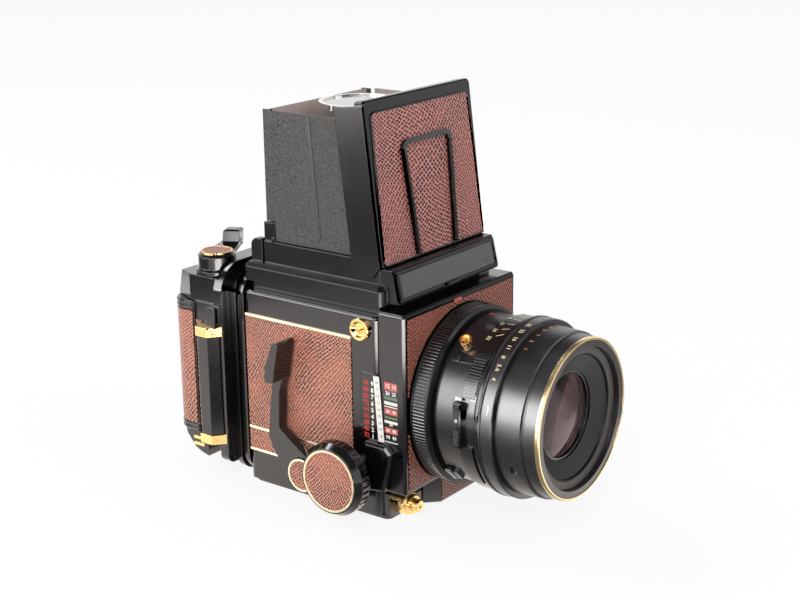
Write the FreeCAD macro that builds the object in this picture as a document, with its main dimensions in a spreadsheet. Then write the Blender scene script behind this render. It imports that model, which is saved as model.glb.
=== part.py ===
import FreeCAD, Part
import math
import os

import Sketcher
from FreeCAD import Placement, Rotation, Vector

# Medium format reflex camera with a rack focused front standard, a waist level hood
# and a revolving roll film back. Millimetres, +Z up, the lens looks towards -Y.
# The origin is the centre of the tripod socket's mouth, on the underside of the base.

DOCUMENT = FreeCAD.newDocument("reflex_camera")
SHEET = DOCUMENT.addObject("Spreadsheet::Sheet", "Dimensions")

# Driving dimensions: name, value, meaning
DIMENSIONS = [
    ("body_wide", 104.0, "casing across X"),
    ("body_front", 43.0, "casing front ahead of the origin"),
    ("body_back", 52.0, "casing back behind the origin"),
    ("body_low", 2.0, "casing underside above the table"),
    ("body_high", 114.0, "casing top above the table"),
    ("body_wall", 3.5, "casing side wall"),
    ("corner_round", 4.0, "casing upright corners"),
    ("edge_round", 1.6, "small edge roundings"),
    ("lens_height", 62.5, "lens axis above the table"),
    ("chamber_floor", 14.0, "mirror chamber floor above the casing underside"),
    ("chamber_roof", 8.0, "casing roof thickness"),
    ("back_wall", 6.0, "wall round the film gate"),
    ("gate_square", 75.0, "square film gate opening"),
    ("screen_wide", 76.0, "focusing screen across X"),
    ("screen_deep", 74.0, "focusing screen along Y"),
    ("screen_thick", 3.0, "focusing screen glass"),
    ("screen_ledge", 1.5, "ledge that carries the screen"),
    ("fit_gap", 0.1, "clearance of seated pieces"),
    ("run_gap", 0.05, "radial clearance of turning fits"),
    ("base_inset", 2.0, "base plate inside the casing outline"),
    ("foot_deep", 4.0, "front foot of the base along Y"),
    ("foot_high", 14.7, "front foot above the table"),
    ("socket_radius", 3.97, "tripod socket bore for a 3/8 inch coarse thread"),
    ("socket_deep", 10.0, "tripod socket depth"),
    ("socket_boss", 9.0, "tripod boss radius"),
    ("leather_thick", 0.6, "leather covering"),
    ("leather_low", 21.0, "lower edge of the side leather"),
    ("leather_high", 99.6, "upper edge of the side leather"),
    ("leather_front", 25.0, "front edge of the side leather ahead of the origin"),
    ("leather_inset", 2.0, "side leather short of the casing back"),
    ("trim_high", 1.4, "gold line height"),
    ("trim_thick", 0.9, "gold line thickness"),
    ("trim_middle", 33.0, "middle gold line above the table"),
    ("trim_middle_front", 8.0, "front end of the middle gold line ahead of the origin"),
    ("trim_low_front", 24.0, "front end of the lower gold line behind the origin"),
    ("lug_radius", 6.2, "strap lug ring"),
    ("lug_neck", 2.2, "strap lug post"),
    ("lug_long", 2.8, "strap lug post length"),
    ("lug_ahead", 31.5, "strap lug ahead of the origin"),
    ("lug_height", 106.1, "strap lug above the table"),
    ("scale_low", 45.0, "distance scale lower edge"),
    ("scale_high", 83.0, "distance scale upper edge"),
    ("scale_back", 31.0, "distance scale rear edge ahead of the origin"),
    ("scale_thick", 0.6, "distance scale plate"),
    ("shaft_ahead", 25.0, "focus shaft ahead of the origin"),
    ("shaft_height", 25.5, "focus shaft above the table"),
    ("shaft_radius", 4.0, "focus shaft"),
    ("tooth_module", 1.0, "rack and pinion module"),
    ("tooth_count", 16.0, "pinion teeth"),
    ("tooth_play", 0.12, "play of each tooth flank"),
    ("rack_wide", 5.0, "rack across X"),
    ("rack_middle", 44.3, "rack middle plane from the centre plane"),
    ("rack_high", 8.0, "rack body above its pitch line"),
    ("rack_long", 80.0, "rack length"),
    ("knob_radius", 20.5, "focus knob over its ribs"),
    ("knob_face", 18.2, "focus knob face radius"),
    ("knob_foot", 62.2, "inner end of the knob from the centre plane"),
    ("knob_rim", 8.0, "ribbed length of the knob"),
    ("knob_bevel", 3.6, "bevelled length of the knob"),
    ("knob_ribs", 36.0, "grooves round the knob"),
    ("knob_ring", 1.2, "gold ring width"),
    ("knob_disc", 16.2, "leather disc radius"),
    ("disc_thick", 0.8, "leather disc thickness"),
    ("neck_radius", 10.5, "collar of the focus shaft"),
    ("lock_long", 24.0, "focus lock lever length"),
    ("hub_behind", 4.5, "cocking lever hub behind the origin"),
    ("hub_height", 17.5, "cocking lever hub above the table"),
    ("hub_radius", 10.2, "cocking lever hub"),
    ("hub_ring", 9.4, "cocking hub gold ring radius"),
    ("hub_disc", 8.4, "cocking hub leather radius"),
    ("arm_inner", 54.8, "cocking arm inner face from the centre plane"),
    ("arm_outer", 60.6, "cocking arm outer face from the centre plane"),
    ("pad_outer", 68.5, "finger pad outer edge from the centre plane"),
    ("mirror_behind", 43.0, "mirror hinge behind the origin"),
    ("mirror_height", 98.0, "mirror hinge above the table"),
    ("mirror_long", 74.0, "mirror frame from its hinge"),
    ("mirror_wide", 74.0, "mirror frame across X"),
    ("mirror_side", 3.5, "room on each side of the mirror"),
    ("mirror_thick", 3.0, "mirror frame"),
    ("mirror_glass", 1.2, "mirror glass"),
    ("release_side", 38.0, "release button from the centre plane"),
    ("release_height", 7.0, "release button above the table"),
    ("release_radius", 3.6, "release button"),
    ("release_collar", 6.6, "release collar"),
    ("release_travel", 3.0, "release button travel"),
    ("standard_front", 60.0, "front face of the standard ahead of the origin"),
    ("standard_thick", 16.4, "front standard along Y"),
    ("standard_low", 17.2, "standard lower edge"),
    ("standard_high", 118.0, "standard upper edge"),
    ("bulge_wide", 54.0, "lower bulge across X"),
    ("bulge_low", 3.4, "lower bulge above the table"),
    ("bulge_chamfer", 7.0, "corner chamfer of the lower bulge"),
    ("mount_bore", 41.0, "lens seat radius in the standard"),
    ("bellows_room", 1.5, "room beside the bellows in the chamber"),
    ("bellows_half_z", 41.0, "bellows outer half height"),
    ("fold_deep", 5.0, "depth of a bellows fold"),
    ("fold_wall", 2.0, "bellows wall measured along the fold depth"),
    ("fold_count", 7.0, "folds of the bellows"),
    ("bellows_long", 10.4, "bellows folded together"),
    ("bellows_frame", 1.4, "frame in the casing behind the bellows"),
    ("bayonet_radius", 49.5, "bayonet ring over its ribs"),
    ("bayonet_from", 0.8, "bayonet ring start ahead of the standard"),
    ("bayonet_to", 12.8, "bayonet ring end ahead of the standard"),
    ("barrel_radius", 46.0, "lens rear barrel"),
    ("barrel_from", 15.0, "rear barrel start ahead of the standard"),
    ("sync_radius", 3.4, "flash socket"),
    ("sync_at", 23.4, "flash socket ahead of the standard"),
    ("sync_turn", 54.2, "flash socket above the barrel's side, in degrees"),
    ("barrel_to", 30.6, "rear barrel end ahead of the standard"),
    ("core_radius", 40.9, "lens core that carries the rings"),
    ("core_bore", 36.0, "lens core inside"),
    ("speed_radius", 47.6, "speed ring"),
    ("speed_to", 40.6, "speed ring end"),
    ("grip_radius", 48.7, "raised grips of the speed ring"),
    ("grip_turn", 33.0, "middle of a grip above the barrel's side, in degrees"),
    ("grip_span", 26.0, "length of a grip, in degrees"),
    ("grip_ribs", 13.0, "grooves of a grip"),
    ("stop_radius", 48.6, "aperture ring"),
    ("stop_to", 44.2, "aperture ring end"),
    ("depth_radius", 48.6, "depth scale ring"),
    ("depth_to", 51.4, "depth scale ring end"),
    ("ring_gap", 0.3, "gap between two rings"),
    ("front_radius", 45.6, "front barrel at its rear"),
    ("rim_radius", 43.6, "front barrel at its rim"),
    ("groove_at", 67.0, "groove of the front barrel"),
    ("lens_to", 76.6, "front of the lens"),
    ("filter_radius", 38.5, "filter thread bore"),
    ("filter_deep", 4.0, "filter thread depth"),
    ("rim_long", 2.2, "gold rim length"),
    ("glass_radius", 24.0, "front element"),
    ("glass_at", 64.0, "front element edge ahead of the standard"),
    ("rear_glass_radius", 20.0, "rear element"),
    ("blade_count", 5.0, "iris blades"),
    ("blade_thick", 0.3, "iris blade"),
    ("stop_open", 19.0, "iris opening radius"),
    ("iris_at", 38.0, "iris seat ahead of the standard"),
    ("hood_wide", 102.0, "hood base flange across X"),
    ("hood_front", 44.8, "hood base flange ahead of the origin"),
    ("hood_low", 119.6, "hood base flange underside"),
    ("hood_lip", 130.0, "hood base flange top"),
    ("frame_wide", 92.4, "hood upper frame across X"),
    ("frame_high", 142.5, "hood upper frame top"),
    ("frame_wall", 1.0, "hood upper frame wall"),
    ("frame_front", 40.0, "hood upper frame ahead of the origin"),
    ("frame_back", 39.6, "hood upper frame behind the origin"),
    ("ear_gap", 1.8, "gap between the frame and its ears"),
    ("ear_deep", 7.8, "ears of the frame along Y"),
    ("hood_back", 51.8, "hood base flange behind the origin"),
    ("well_wide", 80.0, "light well across X"),
    ("nose_front", 54.2, "hood nose ahead of the origin"),
    ("nose_wide", 92.0, "hood nose across X"),
    ("nose_low", 121.0, "hood nose underside"),
    ("nose_high", 139.0, "hood nose top"),
    ("nose_lean", 13.0, "lean of the nose plate, in degrees"),
    ("plate_thick", 1.6, "bare plate on the nose"),
    ("lid_ahead", 39.5, "lid hinge ahead of the origin"),
    ("lid_height", 141.8, "lid hinge above the table"),
    ("lid_lean", 7.0, "lean of the raised lid, in degrees"),
    ("lid_long", 84.0, "lid from its hinge to its top edge"),
    ("lid_clear", 0.15, "clearance between the frame and the lid's side returns"),
    ("lid_face", 3.0, "front face of the lid ahead of its hinge"),
    ("lid_foot", 8.2, "foot of the side returns below the hinge"),
    ("lid_round", 1.6, "rounding of the lid's long edges"),
    ("lid_sheet", 1.2, "lid sheet thickness"),
    ("lid_return", 19.6, "side return depth"),
    ("lid_top_return", 6.0, "top return depth"),
    ("inset_top", 42.3, "half width of the lid's leather at its top"),
    ("inset_foot", 45.2, "half width of the lid's leather at its foot"),
    ("inset_high", 77.2, "top of the lid's leather above the hinge"),
    ("moulding_top", 22.0, "half width of the moulding at its top"),
    ("moulding_foot", 18.2, "half width of the moulding at its foot"),
    ("moulding_high", 60.3, "top of the moulding above the hinge"),
    ("moulding_wall", 2.6, "width of the moulding's bar"),
    ("moulding_deep", 2.2, "moulding proud of the leather"),
    ("hinge_radius", 1.6, "lid hinge barrel"),
    ("pin_radius", 0.9, "hinge pins"),
    ("stub_radius", 0.5, "hinge stubs of the leaves, rear panel and magnifier"),
    ("stub_long", 1.4, "length of a hinge stub"),
    ("leaf_plane", 44.6, "side leaf middle plane from the centre plane"),
    ("leaf_sheet", 1.0, "side leaf sheet"),
    ("leaf_hinge", 143.5, "right leaf hinge above the table"),
    ("leaf_step", 2.7, "left leaf hinge above the right one"),
    ("leaf_top", 214.5, "upper edge of the leaves"),
    ("leaf_front_low", 31.5, "leaf front edge at its foot ahead of the origin"),
    ("leaf_back", 31.8, "leaf rear edge behind the origin"),
    ("rear_hinge", 150.6, "rear panel hinge above the table"),
    ("rear_plane", 36.4, "rear panel middle plane behind the origin"),
    ("rear_wide", 86.2, "rear panel across X"),
    ("glass_arm_height", 213.8, "magnifier hinge above the table"),
    ("glass_arm_ahead", 27.2, "magnifier hinge ahead of the origin"),
    ("glass_barrel", 44.0, "magnifier hinge barrel length"),
    ("magnifier_radius", 22.5, "magnifier ring"),
    ("magnifier_behind", 7.6, "magnifier centre behind the origin"),
    ("film_wide", 69.5, "picture gate across X"),
    ("film_high", 56.0, "picture gate height"),
    ("adapter_wide", 105.0, "revolving adapter across X"),
    ("adapter_low", 3.0, "revolving adapter lower edge"),
    ("adapter_round", 11.0, "revolving adapter corners"),
    ("adapter_gap", 0.4, "running gap behind the casing"),
    ("adapter_thick", 8.6, "revolving adapter along Y"),
    ("spigot_radius", 46.0, "turning spigot of the adapter"),
    ("spigot_deep", 2.0, "turning spigot length"),
    ("holder_wide", 119.0, "film holder front plate across X"),
    ("holder_low", 9.5, "film holder front plate lower edge"),
    ("plate_high", 127.5, "film holder front plate upper edge"),
    ("holder_high", 118.6, "film holder cap top"),
    ("holder_plate", 6.0, "film holder front plate"),
    ("holder_round", 17.0, "upper corners of the film holder plate"),
    ("holder_body", 16.0, "holder body along Y behind its plate"),
    ("holder_step", 1.5, "holder body short of its plate on each side"),
    ("cap_low", 103.5, "holder cap lower edge"),
    ("foot_top", 23.4, "holder bottom cap upper edge"),
    ("foot_low", 9.6, "holder bottom cap underside"),
    ("foot_front", 79.2, "holder bottom cap front behind the origin"),
    ("door_deep", 20.0, "film door along Y"),
    ("door_round", 13.0, "film door upright corners"),
    ("door_wall", 1.6, "film door wall"),
    ("door_lip", 0.9, "beads round the door's upper and lower edge"),
    ("chamber_radius", 14.2, "spool chamber"),
    ("spool_side", 43.5, "spool axis from the centre plane"),
    ("spool_flange", 12.6, "spool flange"),
    ("spool_core", 6.0, "spool core"),
    ("spool_long", 65.5, "spool length"),
    ("spool_pin", 2.4, "spool pins"),
    ("hinge_out", 2.5, "door hinge beyond the holder's side"),
    ("door_knuckle", 1.8, "door hinge knuckle"),
    ("slide_thick", 0.8, "dark slide blade"),
    ("slide_high", 66.0, "dark slide blade height"),
    ("slide_inside", 40.0, "inner end of the dark slide from the centre plane"),
    ("bar_thick", 6.1, "lock bar proud of the plate's edge"),
    ("bar_front", 62.2, "lock bar front behind the origin"),
    ("bar_back", 77.6, "lock bar rear behind the origin"),
    ("bar_low", 27.4, "lock bar visible lower end"),
    ("bar_high", 86.2, "lock bar visible upper end"),
    ("bracket_high", 5.2, "gold bracket height"),
    ("bracket_wall", 0.8, "gold bracket wall"),
    ("bar_travel", 3.0, "lock bar travel"),
    ("wind_side", 45.5, "advance lever axis from the centre plane"),
    ("wind_behind", 76.5, "advance lever axis behind the origin"),
    ("wind_radius", 12.0, "advance lever hub"),
    ("wind_post", 3.0, "advance lever post"),
    ("wind_top", 130.6, "advance lever hub top"),
    ("wind_reach", 38.0, "advance lever reach"),
]


class Size:
    """A size that carries its value and the sheet expression that gives it."""

    def __init__(self, value, text):
        self.value = float(value)
        self.text = text

    def __add__(self, other):
        other = sized(other)
        return Size(self.value + other.value, f"({self.text} + {other.text})")

    def __sub__(self, other):
        other = sized(other)
        return Size(self.value - other.value, f"({self.text} - {other.text})")

    def __mul__(self, other):
        other = sized(other)
        return Size(self.value * other.value, f"({self.text} * {other.text})")

    def __truediv__(self, other):
        other = sized(other)
        return Size(self.value / other.value, f"({self.text} / {other.text})")

    def __radd__(self, other):
        return sized(other) + self

    def __rsub__(self, other):
        return sized(other) - self

    def __rmul__(self, other):
        return sized(other) * self

    def __neg__(self):
        return Size(-self.value, f"(0 - {self.text})")


def sized(number):
    """Take a plain number or a Size as a Size."""
    return number if isinstance(number, Size) else Size(number, repr(float(number)))


class Sheet:
    """The named sizes of the sheet, one attribute each."""


D = Sheet()
for row, (alias, value, meaning) in enumerate(DIMENSIONS, start=1):
    SHEET.set(f"A{row}", alias)
    SHEET.set(f"B{row}", str(value))
    SHEET.set(f"C{row}", meaning)
    SHEET.setAlias(f"B{row}", alias)
DOCUMENT.recompute()
for alias, value, meaning in DIMENSIONS:
    setattr(D, alias, Size(SHEET.get(alias), f"Dimensions.{alias}"))

NODES = []


def keep(shape, label):
    """Name a finished sub-part: its label is its file's name."""
    shape.Label = label
    NODES.append(shape)
    return shape


def place(thing, x=0, y=0, z=0, axis=(0, 0, 1), angle=0):
    """Put an object in place with each coordinate and the angle bound to its size."""
    x, y, z, angle = sized(x), sized(y), sized(z), sized(angle)
    turned_axis = Vector(*axis)
    if angle.value < 0:
        turned_axis, angle = -turned_axis, -angle
    turn = Rotation(turned_axis, angle.value)
    thing.Placement = Placement(Vector(x.value, y.value, z.value), turn)
    for letter, size in (("x", x), ("y", y), ("z", z)):
        thing.setExpression(f"Placement.Base.{letter}", size.text)
    if angle.value:
        thing.setExpression("Placement.Rotation.Angle", angle.text)
    return thing


def box(x, y, z):
    """A block between two values along each axis."""
    block = DOCUMENT.addObject("Part::Box", "Block")
    for name, (low, high) in (("Length", x), ("Width", y), ("Height", z)):
        block.setExpression(name, (sized(high) - low).text)
    return place(block, x[0], y[0], z[0])


AXES = {"x": ((0, 1, 0), 90), "y": ((1, 0, 0), -90), "-y": ((1, 0, 0), 90), "z": ((0, 0, 1), 0)}


def rod(radius, length, at, along="z"):
    """A cylinder from a point along one axis."""
    cylinder = DOCUMENT.addObject("Part::Cylinder", "Rod")
    cylinder.setExpression("Radius", sized(radius).text)
    cylinder.setExpression("Height", sized(length).text)
    axis, angle = AXES[along]
    return place(cylinder, *at, axis=axis, angle=angle)


def join(*parts):
    """Several shapes as one solid."""
    fused = DOCUMENT.addObject("Part::MultiFuse", "Joined")
    fused.Shapes = list(parts)
    fused.Refine = True
    return fused


def group(*parts):
    """Several separate solids in one sub-part."""
    bundle = DOCUMENT.addObject("Part::Compound", "Group")
    bundle.Links = list(parts)
    return bundle


def less(base, *tools):
    """A shape with others cut away from it."""
    cut = DOCUMENT.addObject("Part::Cut", "Cut")
    cut.Base = base
    cut.Tool = tools[0] if len(tools) == 1 else join(*tools)
    cut.Refine = True
    return cut


def origin_plane(body, role):
    """One of a body's own origin planes."""
    return [plane for plane in body.Origin.OriginFeatures if plane.Role == role][0]


def outline(body, role, points):
    """A closed sketch of straight lines whose corners are bound to their sizes."""
    sketch = body.newObject("Sketcher::SketchObject", "Outline")
    sketch.AttachmentSupport = [(origin_plane(body, role), "")]
    sketch.MapMode = "FlatFace"
    corners = [(sized(across), sized(up)) for across, up in points]
    count = len(corners)
    for i, (across, up) in enumerate(corners):
        next_across, next_up = corners[(i + 1) % count]
        start = Vector(across.value, up.value, 0)
        end = Vector(next_across.value, next_up.value, 0)
        sketch.addGeometry(Part.LineSegment(start, end), False)
    for i in range(count):
        sketch.addConstraint(Sketcher.Constraint("Coincident", i, 2, (i + 1) % count, 1))
    for i, (across, up) in enumerate(corners):
        for kind, size in (("DistanceX", across), ("DistanceY", up)):
            index = sketch.addConstraint(Sketcher.Constraint(kind, -1, 1, i, 1, size.value))
            sketch.setExpression(f"Constraints[{index}]", size.text)
    return sketch


def new_body():
    """A fresh PartDesign body."""
    return DOCUMENT.addObject("PartDesign::Body", "Body")


def padded(role, points, length):
    """A body with one outline padded to a length."""
    body = new_body()
    sketch = outline(body, role, points)
    pad = body.newObject("PartDesign::Pad", "Pad")
    pad.Profile = sketch
    pad.setExpression("Length", sized(length).text)
    sketch.Visibility = False
    return body


def round_edges(body, radius, wanted, kind="PartDesign::Fillet"):
    """Round or chamfer the edges of a body's tip that a test picks."""
    DOCUMENT.recompute()
    base = body.Tip
    names = []
    for number, edge in enumerate(base.Shape.Edges, start=1):
        if wanted(edge):
            names.append(f"Edge{number}")
    dress = body.newObject(kind, "Edges")
    dress.Base = (base, names)
    name = "Radius" if kind == "PartDesign::Fillet" else "Size"
    dress.setExpression(name, sized(radius).text)
    return body


def parallel(edge, axis):
    """Whether a straight edge runs along an axis."""
    if not isinstance(edge.Curve, Part.Line):
        return False
    return abs(abs(edge.Curve.Direction.dot(Vector(*axis))) - 1) < 1e-6


def turned(points, sweep=360):
    """A body of revolution: radius and distance along its own Z axis, about its XZ plane."""
    body = new_body()
    sketch = outline(body, "XZ_Plane", points)
    revolution = body.newObject("PartDesign::Revolution", "Revolution")
    revolution.Profile = sketch
    revolution.ReferenceAxis = (sketch, ["V_Axis"])
    revolution.setExpression("Angle", sized(sweep).text)
    revolution.Midplane = sized(sweep).value < 360
    sketch.Visibility = False
    return body


def grooved(body, count, radius, wide, deep, low, high):
    """Cut a groove along the rim of a turned body and repeat it round the axis."""
    DOCUMENT.recompute()
    sketch = outline(
        body,
        "XY_Plane",
        [(radius - deep, wide / -2), (radius + deep, wide / -2),
         (radius + deep, wide / 2), (radius - deep, wide / 2)],
    )
    sketch.AttachmentOffset = Placement(Vector(0, 0, sized(low).value), Rotation())
    sketch.setExpression("AttachmentOffset.Base.z", sized(low).text)
    pocket = body.newObject("PartDesign::Pocket", "Groove")
    pocket.Profile = sketch
    pocket.Reversed = True
    pocket.setExpression("Length", (sized(high) - low).text)
    pattern = body.newObject("PartDesign::PolarPattern", "Grooves")
    pattern.Originals = [pocket]
    pattern.Axis = (sketch, ["N_Axis"])
    pattern.Angle = 360
    pattern.setExpression("Occurrences", sized(count).text)
    body.Tip = pattern
    sketch.Visibility = False
    return body


def on_lens_axis(body, ahead=0):
    """Turn a piece made along +Z to the lens axis, counted from the standard's face."""
    return place(body, 0, -(D.standard_front + ahead), D.lens_height, axis=(1, 0, 0), angle=90)


HALF = D.body_wide / 2
CHAMBER = D.mirror_wide / 2 + D.mirror_side
BELLOWS_X = CHAMBER - D.bellows_room
FLOOR = D.body_low + D.chamber_floor
ROOF = D.body_high - D.chamber_roof
GATE = D.gate_square / 2
SCREEN_FRONT = D.screen_deep / -2
RACK_CLEAR = D.rack_wide / 2 + 0.6
PITCH_RADIUS = D.tooth_module * D.tooth_count / 2
RACK_PITCH = D.shaft_height + PITCH_RADIUS
STANDARD_BACK = D.standard_thick - D.standard_front
BELLOWS_BACK = STANDARD_BACK + D.bellows_long + D.fit_gap * 2


# Body

def body_casing():
    """Casing with its mirror chamber, screen well, film gate and rack channels."""
    body = padded(
        "XY_Plane",
        [(-HALF, -D.body_front), (HALF, -D.body_front), (HALF, D.body_back), (-HALF, D.body_back)],
        D.body_high - D.body_low,
    )
    round_edges(body, D.corner_round, lambda edge: parallel(edge, (0, 0, 1)))
    round_edges(body, D.edge_round, lambda edge: edge.CenterOfMass.z > D.body_high.value - 3)
    place(body, 0, 0, D.body_low)
    channel_in = CHAMBER - 1
    channel_out = D.rack_middle + RACK_CLEAR
    channel_low = D.shaft_height - PITCH_RADIUS - 2
    channel_high = RACK_PITCH + D.rack_high + 0.6
    tools = [
        box((-CHAMBER, CHAMBER), (-D.body_front - 1, D.body_back - D.back_wall), (FLOOR, ROOF)),
        box((-GATE, GATE), (D.body_back - D.back_wall - 1, D.body_back + 1),
            (D.lens_height - GATE, D.lens_height + GATE)),
        box((D.screen_ledge - D.screen_wide / 2, D.screen_wide / 2 - D.screen_ledge),
            (SCREEN_FRONT + D.screen_ledge, -SCREEN_FRONT - D.screen_ledge), (ROOF - 1, D.body_high + 1)),
        box((-D.screen_wide / 2 - D.fit_gap, D.screen_wide / 2 + D.fit_gap),
            (SCREEN_FRONT - D.fit_gap, -SCREEN_FRONT + D.fit_gap), (ROOF + D.screen_ledge, D.body_high + 1)),
        rod(D.shaft_radius + D.run_gap, D.body_wide + 2, (-HALF - 1, -D.shaft_ahead, D.shaft_height), "x"),
        rod(D.socket_boss + D.fit_gap, D.socket_deep + 1, (0, 0, 0)),
        rod(D.pin_radius + D.run_gap, CHAMBER * 2 + 6,
            (-CHAMBER - 3, D.mirror_behind, D.mirror_height), "x"),
        rod(D.shaft_radius + D.run_gap, D.body_wall + 4, (-HALF - 1, D.hub_behind, D.hub_height), "x"),
        rod(D.spigot_radius + D.run_gap * 4, D.spigot_deep + 1,
            (0, D.body_back - D.spigot_deep - 0.4, D.lens_height), "y"),
    ]
    for side in (-1, 1):
        low, high = (channel_in, channel_out) if side > 0 else (-channel_out, -channel_in)
        tools.append(box((low, high), (-D.body_front - 1, D.body_back - D.back_wall),
                         (channel_low, channel_high)))
    hollow = less(body, *tools)
    frame_back = BELLOWS_BACK + D.bellows_frame
    frame = less(
        box((-CHAMBER, CHAMBER), (BELLOWS_BACK, frame_back), (FLOOR, ROOF)),
        box((D.fold_deep - BELLOWS_X, BELLOWS_X - D.fold_deep),
            (BELLOWS_BACK - 1, frame_back + 1),
            (D.lens_height - D.bellows_half_z + D.fold_deep,
             D.lens_height + D.bellows_half_z - D.fold_deep)),
    )
    keep(join(hollow, frame), "body_casing")


def base_plate():
    """Base plate with its front foot and the tripod socket's boss."""
    half = HALF - D.base_inset
    plate = padded(
        "XY_Plane",
        [(-half, -D.body_front - D.foot_deep), (half, -D.body_front - D.foot_deep),
         (half, D.body_back - D.base_inset), (-half, D.body_back - D.base_inset)],
        D.body_low,
    )
    round_edges(plate, D.corner_round, lambda edge: parallel(edge, (0, 0, 1)))
    foot = box((-half + 1, half - 1), (-D.body_front - D.foot_deep, -D.body_front),
               (D.body_low - 0.5, D.foot_high))
    boss = rod(D.socket_boss, D.socket_deep, (0, 0, 0.5))
    bore = rod(D.socket_radius, D.socket_deep, (0, 0, 0))
    stem = rod(D.release_radius + D.run_gap, D.foot_deep + 2,
               (-D.release_side, -D.body_front - D.foot_deep - 1, D.release_height), "y")
    keep(less(join(plate, foot, boss), bore, stem), "base_plate")


def side_leather(side, label):
    """Leather panel of one side with room for the shaft collar and the lever hub."""
    x = (-HALF - D.leather_thick, -HALF) if side < 0 else (HALF, HALF + D.leather_thick)
    start = -HALF - 2 if side < 0 else HALF - 1
    back = D.body_back - D.leather_inset
    panel = box(x, (-D.leather_front, back), (D.leather_low, D.leather_high))
    cuts = [rod(D.neck_radius + 0.3, 4, (start, -D.shaft_ahead, D.shaft_height), "x")]
    if side < 0:
        cuts.append(rod(D.hub_radius + 0.4, 4, (start, D.hub_behind, D.hub_height), "x"))
    keep(less(panel, *cuts), label)


def trim_lines():
    """Gold lines above, across and below the leather of both sides."""
    back = D.body_back - D.leather_inset
    lines = []
    for side in (-1, 1):
        x = (-HALF - D.trim_thick, -HALF) if side < 0 else (HALF, HALF + D.trim_thick)
        skin = (-HALF - D.trim_thick, -HALF - D.leather_thick)
        if side > 0:
            skin = (HALF + D.leather_thick, HALF + D.trim_thick)
        lines.append(box(x, (-D.leather_front, back), (D.leather_high, D.leather_high + D.trim_high)))
        lines.append(box(skin, (-D.trim_middle_front, back), (D.trim_middle, D.trim_middle + D.trim_high)))
        lines.append(box(x, (D.trim_low_front, back), (D.leather_low - D.trim_high, D.leather_low)))
    keep(group(*lines), "trim_lines")


def strap_lugs():
    """Two dished rings with a post in the middle for the strap's clip, and a slot across."""
    lugs = []
    outer = D.lug_radius
    for side in (-1, 1):
        ring = turned([
            (0, 0), (outer, 0), (outer, 1.4), (outer - 0.5, 2.0), (outer - 1.5, 2.0), (outer - 2.9, 0.8),
            (D.lug_neck, 0.8), (D.lug_neck, D.lug_long - 0.5), (D.lug_neck - 0.5, D.lug_long),
            (0, D.lug_long),
        ])
        slot = padded("XY_Plane", [(outer * 0.63, outer), (outer * 0.43, outer * 1.09),
                                   (outer * -0.63, outer * -1.0), (outer * -0.43, outer * -1.09)],
                                   D.lug_long)
        place(slot, 0, 0, 1.2)
        lug = place(less(ring, slot), HALF * side, -D.lug_ahead, D.lug_height, axis=(0, 1, 0),
                    angle=90 * side)
        lugs.append(lug)
    keep(group(*lugs), "strap_lugs")


def body_scale_plate():
    """Bare plate that carries the distance figures."""
    plate = padded(
        "YZ_Plane",
        [(-D.body_front + 0.3, D.scale_low), (-D.scale_back, D.scale_low),
         (-D.scale_back, D.scale_high), (-D.body_front + 0.3, D.scale_high)],
        D.scale_thick,
    )
    round_edges(plate, 1.5, lambda edge: parallel(edge, (1, 0, 0)))
    keep(place(plate, -HALF - D.scale_thick, 0, 0), "body_scale_plate")


def focusing_screen():
    """Glass screen in its well above the mirror."""
    low = ROOF + D.screen_ledge
    glass = box((D.screen_wide / -2, D.screen_wide / 2), (SCREEN_FRONT, -SCREEN_FRONT),
                (low, low + D.screen_thick))
    keep(glass, "focusing_screen")


def pinion_housing():
    """Chamfered block over the rack drive beside the seam."""
    inner = HALF + 0.3
    seam = -D.body_front
    low, high = D.standard_low, RACK_PITCH + D.rack_high + 3.4
    proud = 4.2
    block = padded(
        "YZ_Plane",
        [(seam + 6.8, low), (seam - 5.4, low + 1.4), (seam - 10.2, high - 6.9), (seam - 10.2, high - 3.9),
         (seam - 6.4, high), (seam + 7.6, high)],
        proud,
    )
    round_edges(block, 1.2, lambda edge: abs(edge.CenterOfMass.x) < 0.01, "PartDesign::Chamfer")
    place(block, -inner - proud, 0, 0)
    seat = box((-inner - 0.1, -HALF), (seam + 2, seam + 6.6), (low + 2.8, high - 1.9))
    keep(join(block, seat), "pinion_housing")


def release_collar():
    """Stepped collar round the shutter release."""
    collar = turned([
        (D.release_radius + D.run_gap, 0), (D.release_collar, 0), (D.release_collar, 5.4),
        (D.release_collar - 0.8, 6.2), (D.release_radius + 1.9, 6.2), (D.release_radius + 1.9, 7.8),
        (D.release_radius + 1.3, 8.4), (D.release_radius + D.run_gap, 8.4),
    ])
    place(collar, -D.release_side, -D.body_front - D.foot_deep, D.release_height, axis=(1, 0, 0), angle=90)
    keep(collar, "release_collar")


def release_button():
    """Shutter release with a dished, grooved head and a stem through the foot."""
    neck = D.release_radius - 0.6
    start = D.release_travel - D.foot_deep + 0.2
    button = turned([
        (0, start), (neck, start), (neck, 0), (D.release_radius, 0.6), (D.release_radius, 9.4), (neck, 9.7),
        (neck, 10.3), (D.release_radius, 10.6), (D.release_radius, 11.6), (neck, 12.2), (1.2, 12.2),
        (0, 11.0),
    ])
    place(button, -D.release_side, -D.body_front - D.foot_deep, D.release_height, axis=(1, 0, 0), angle=90)
    keep(button, "release_button")


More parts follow.
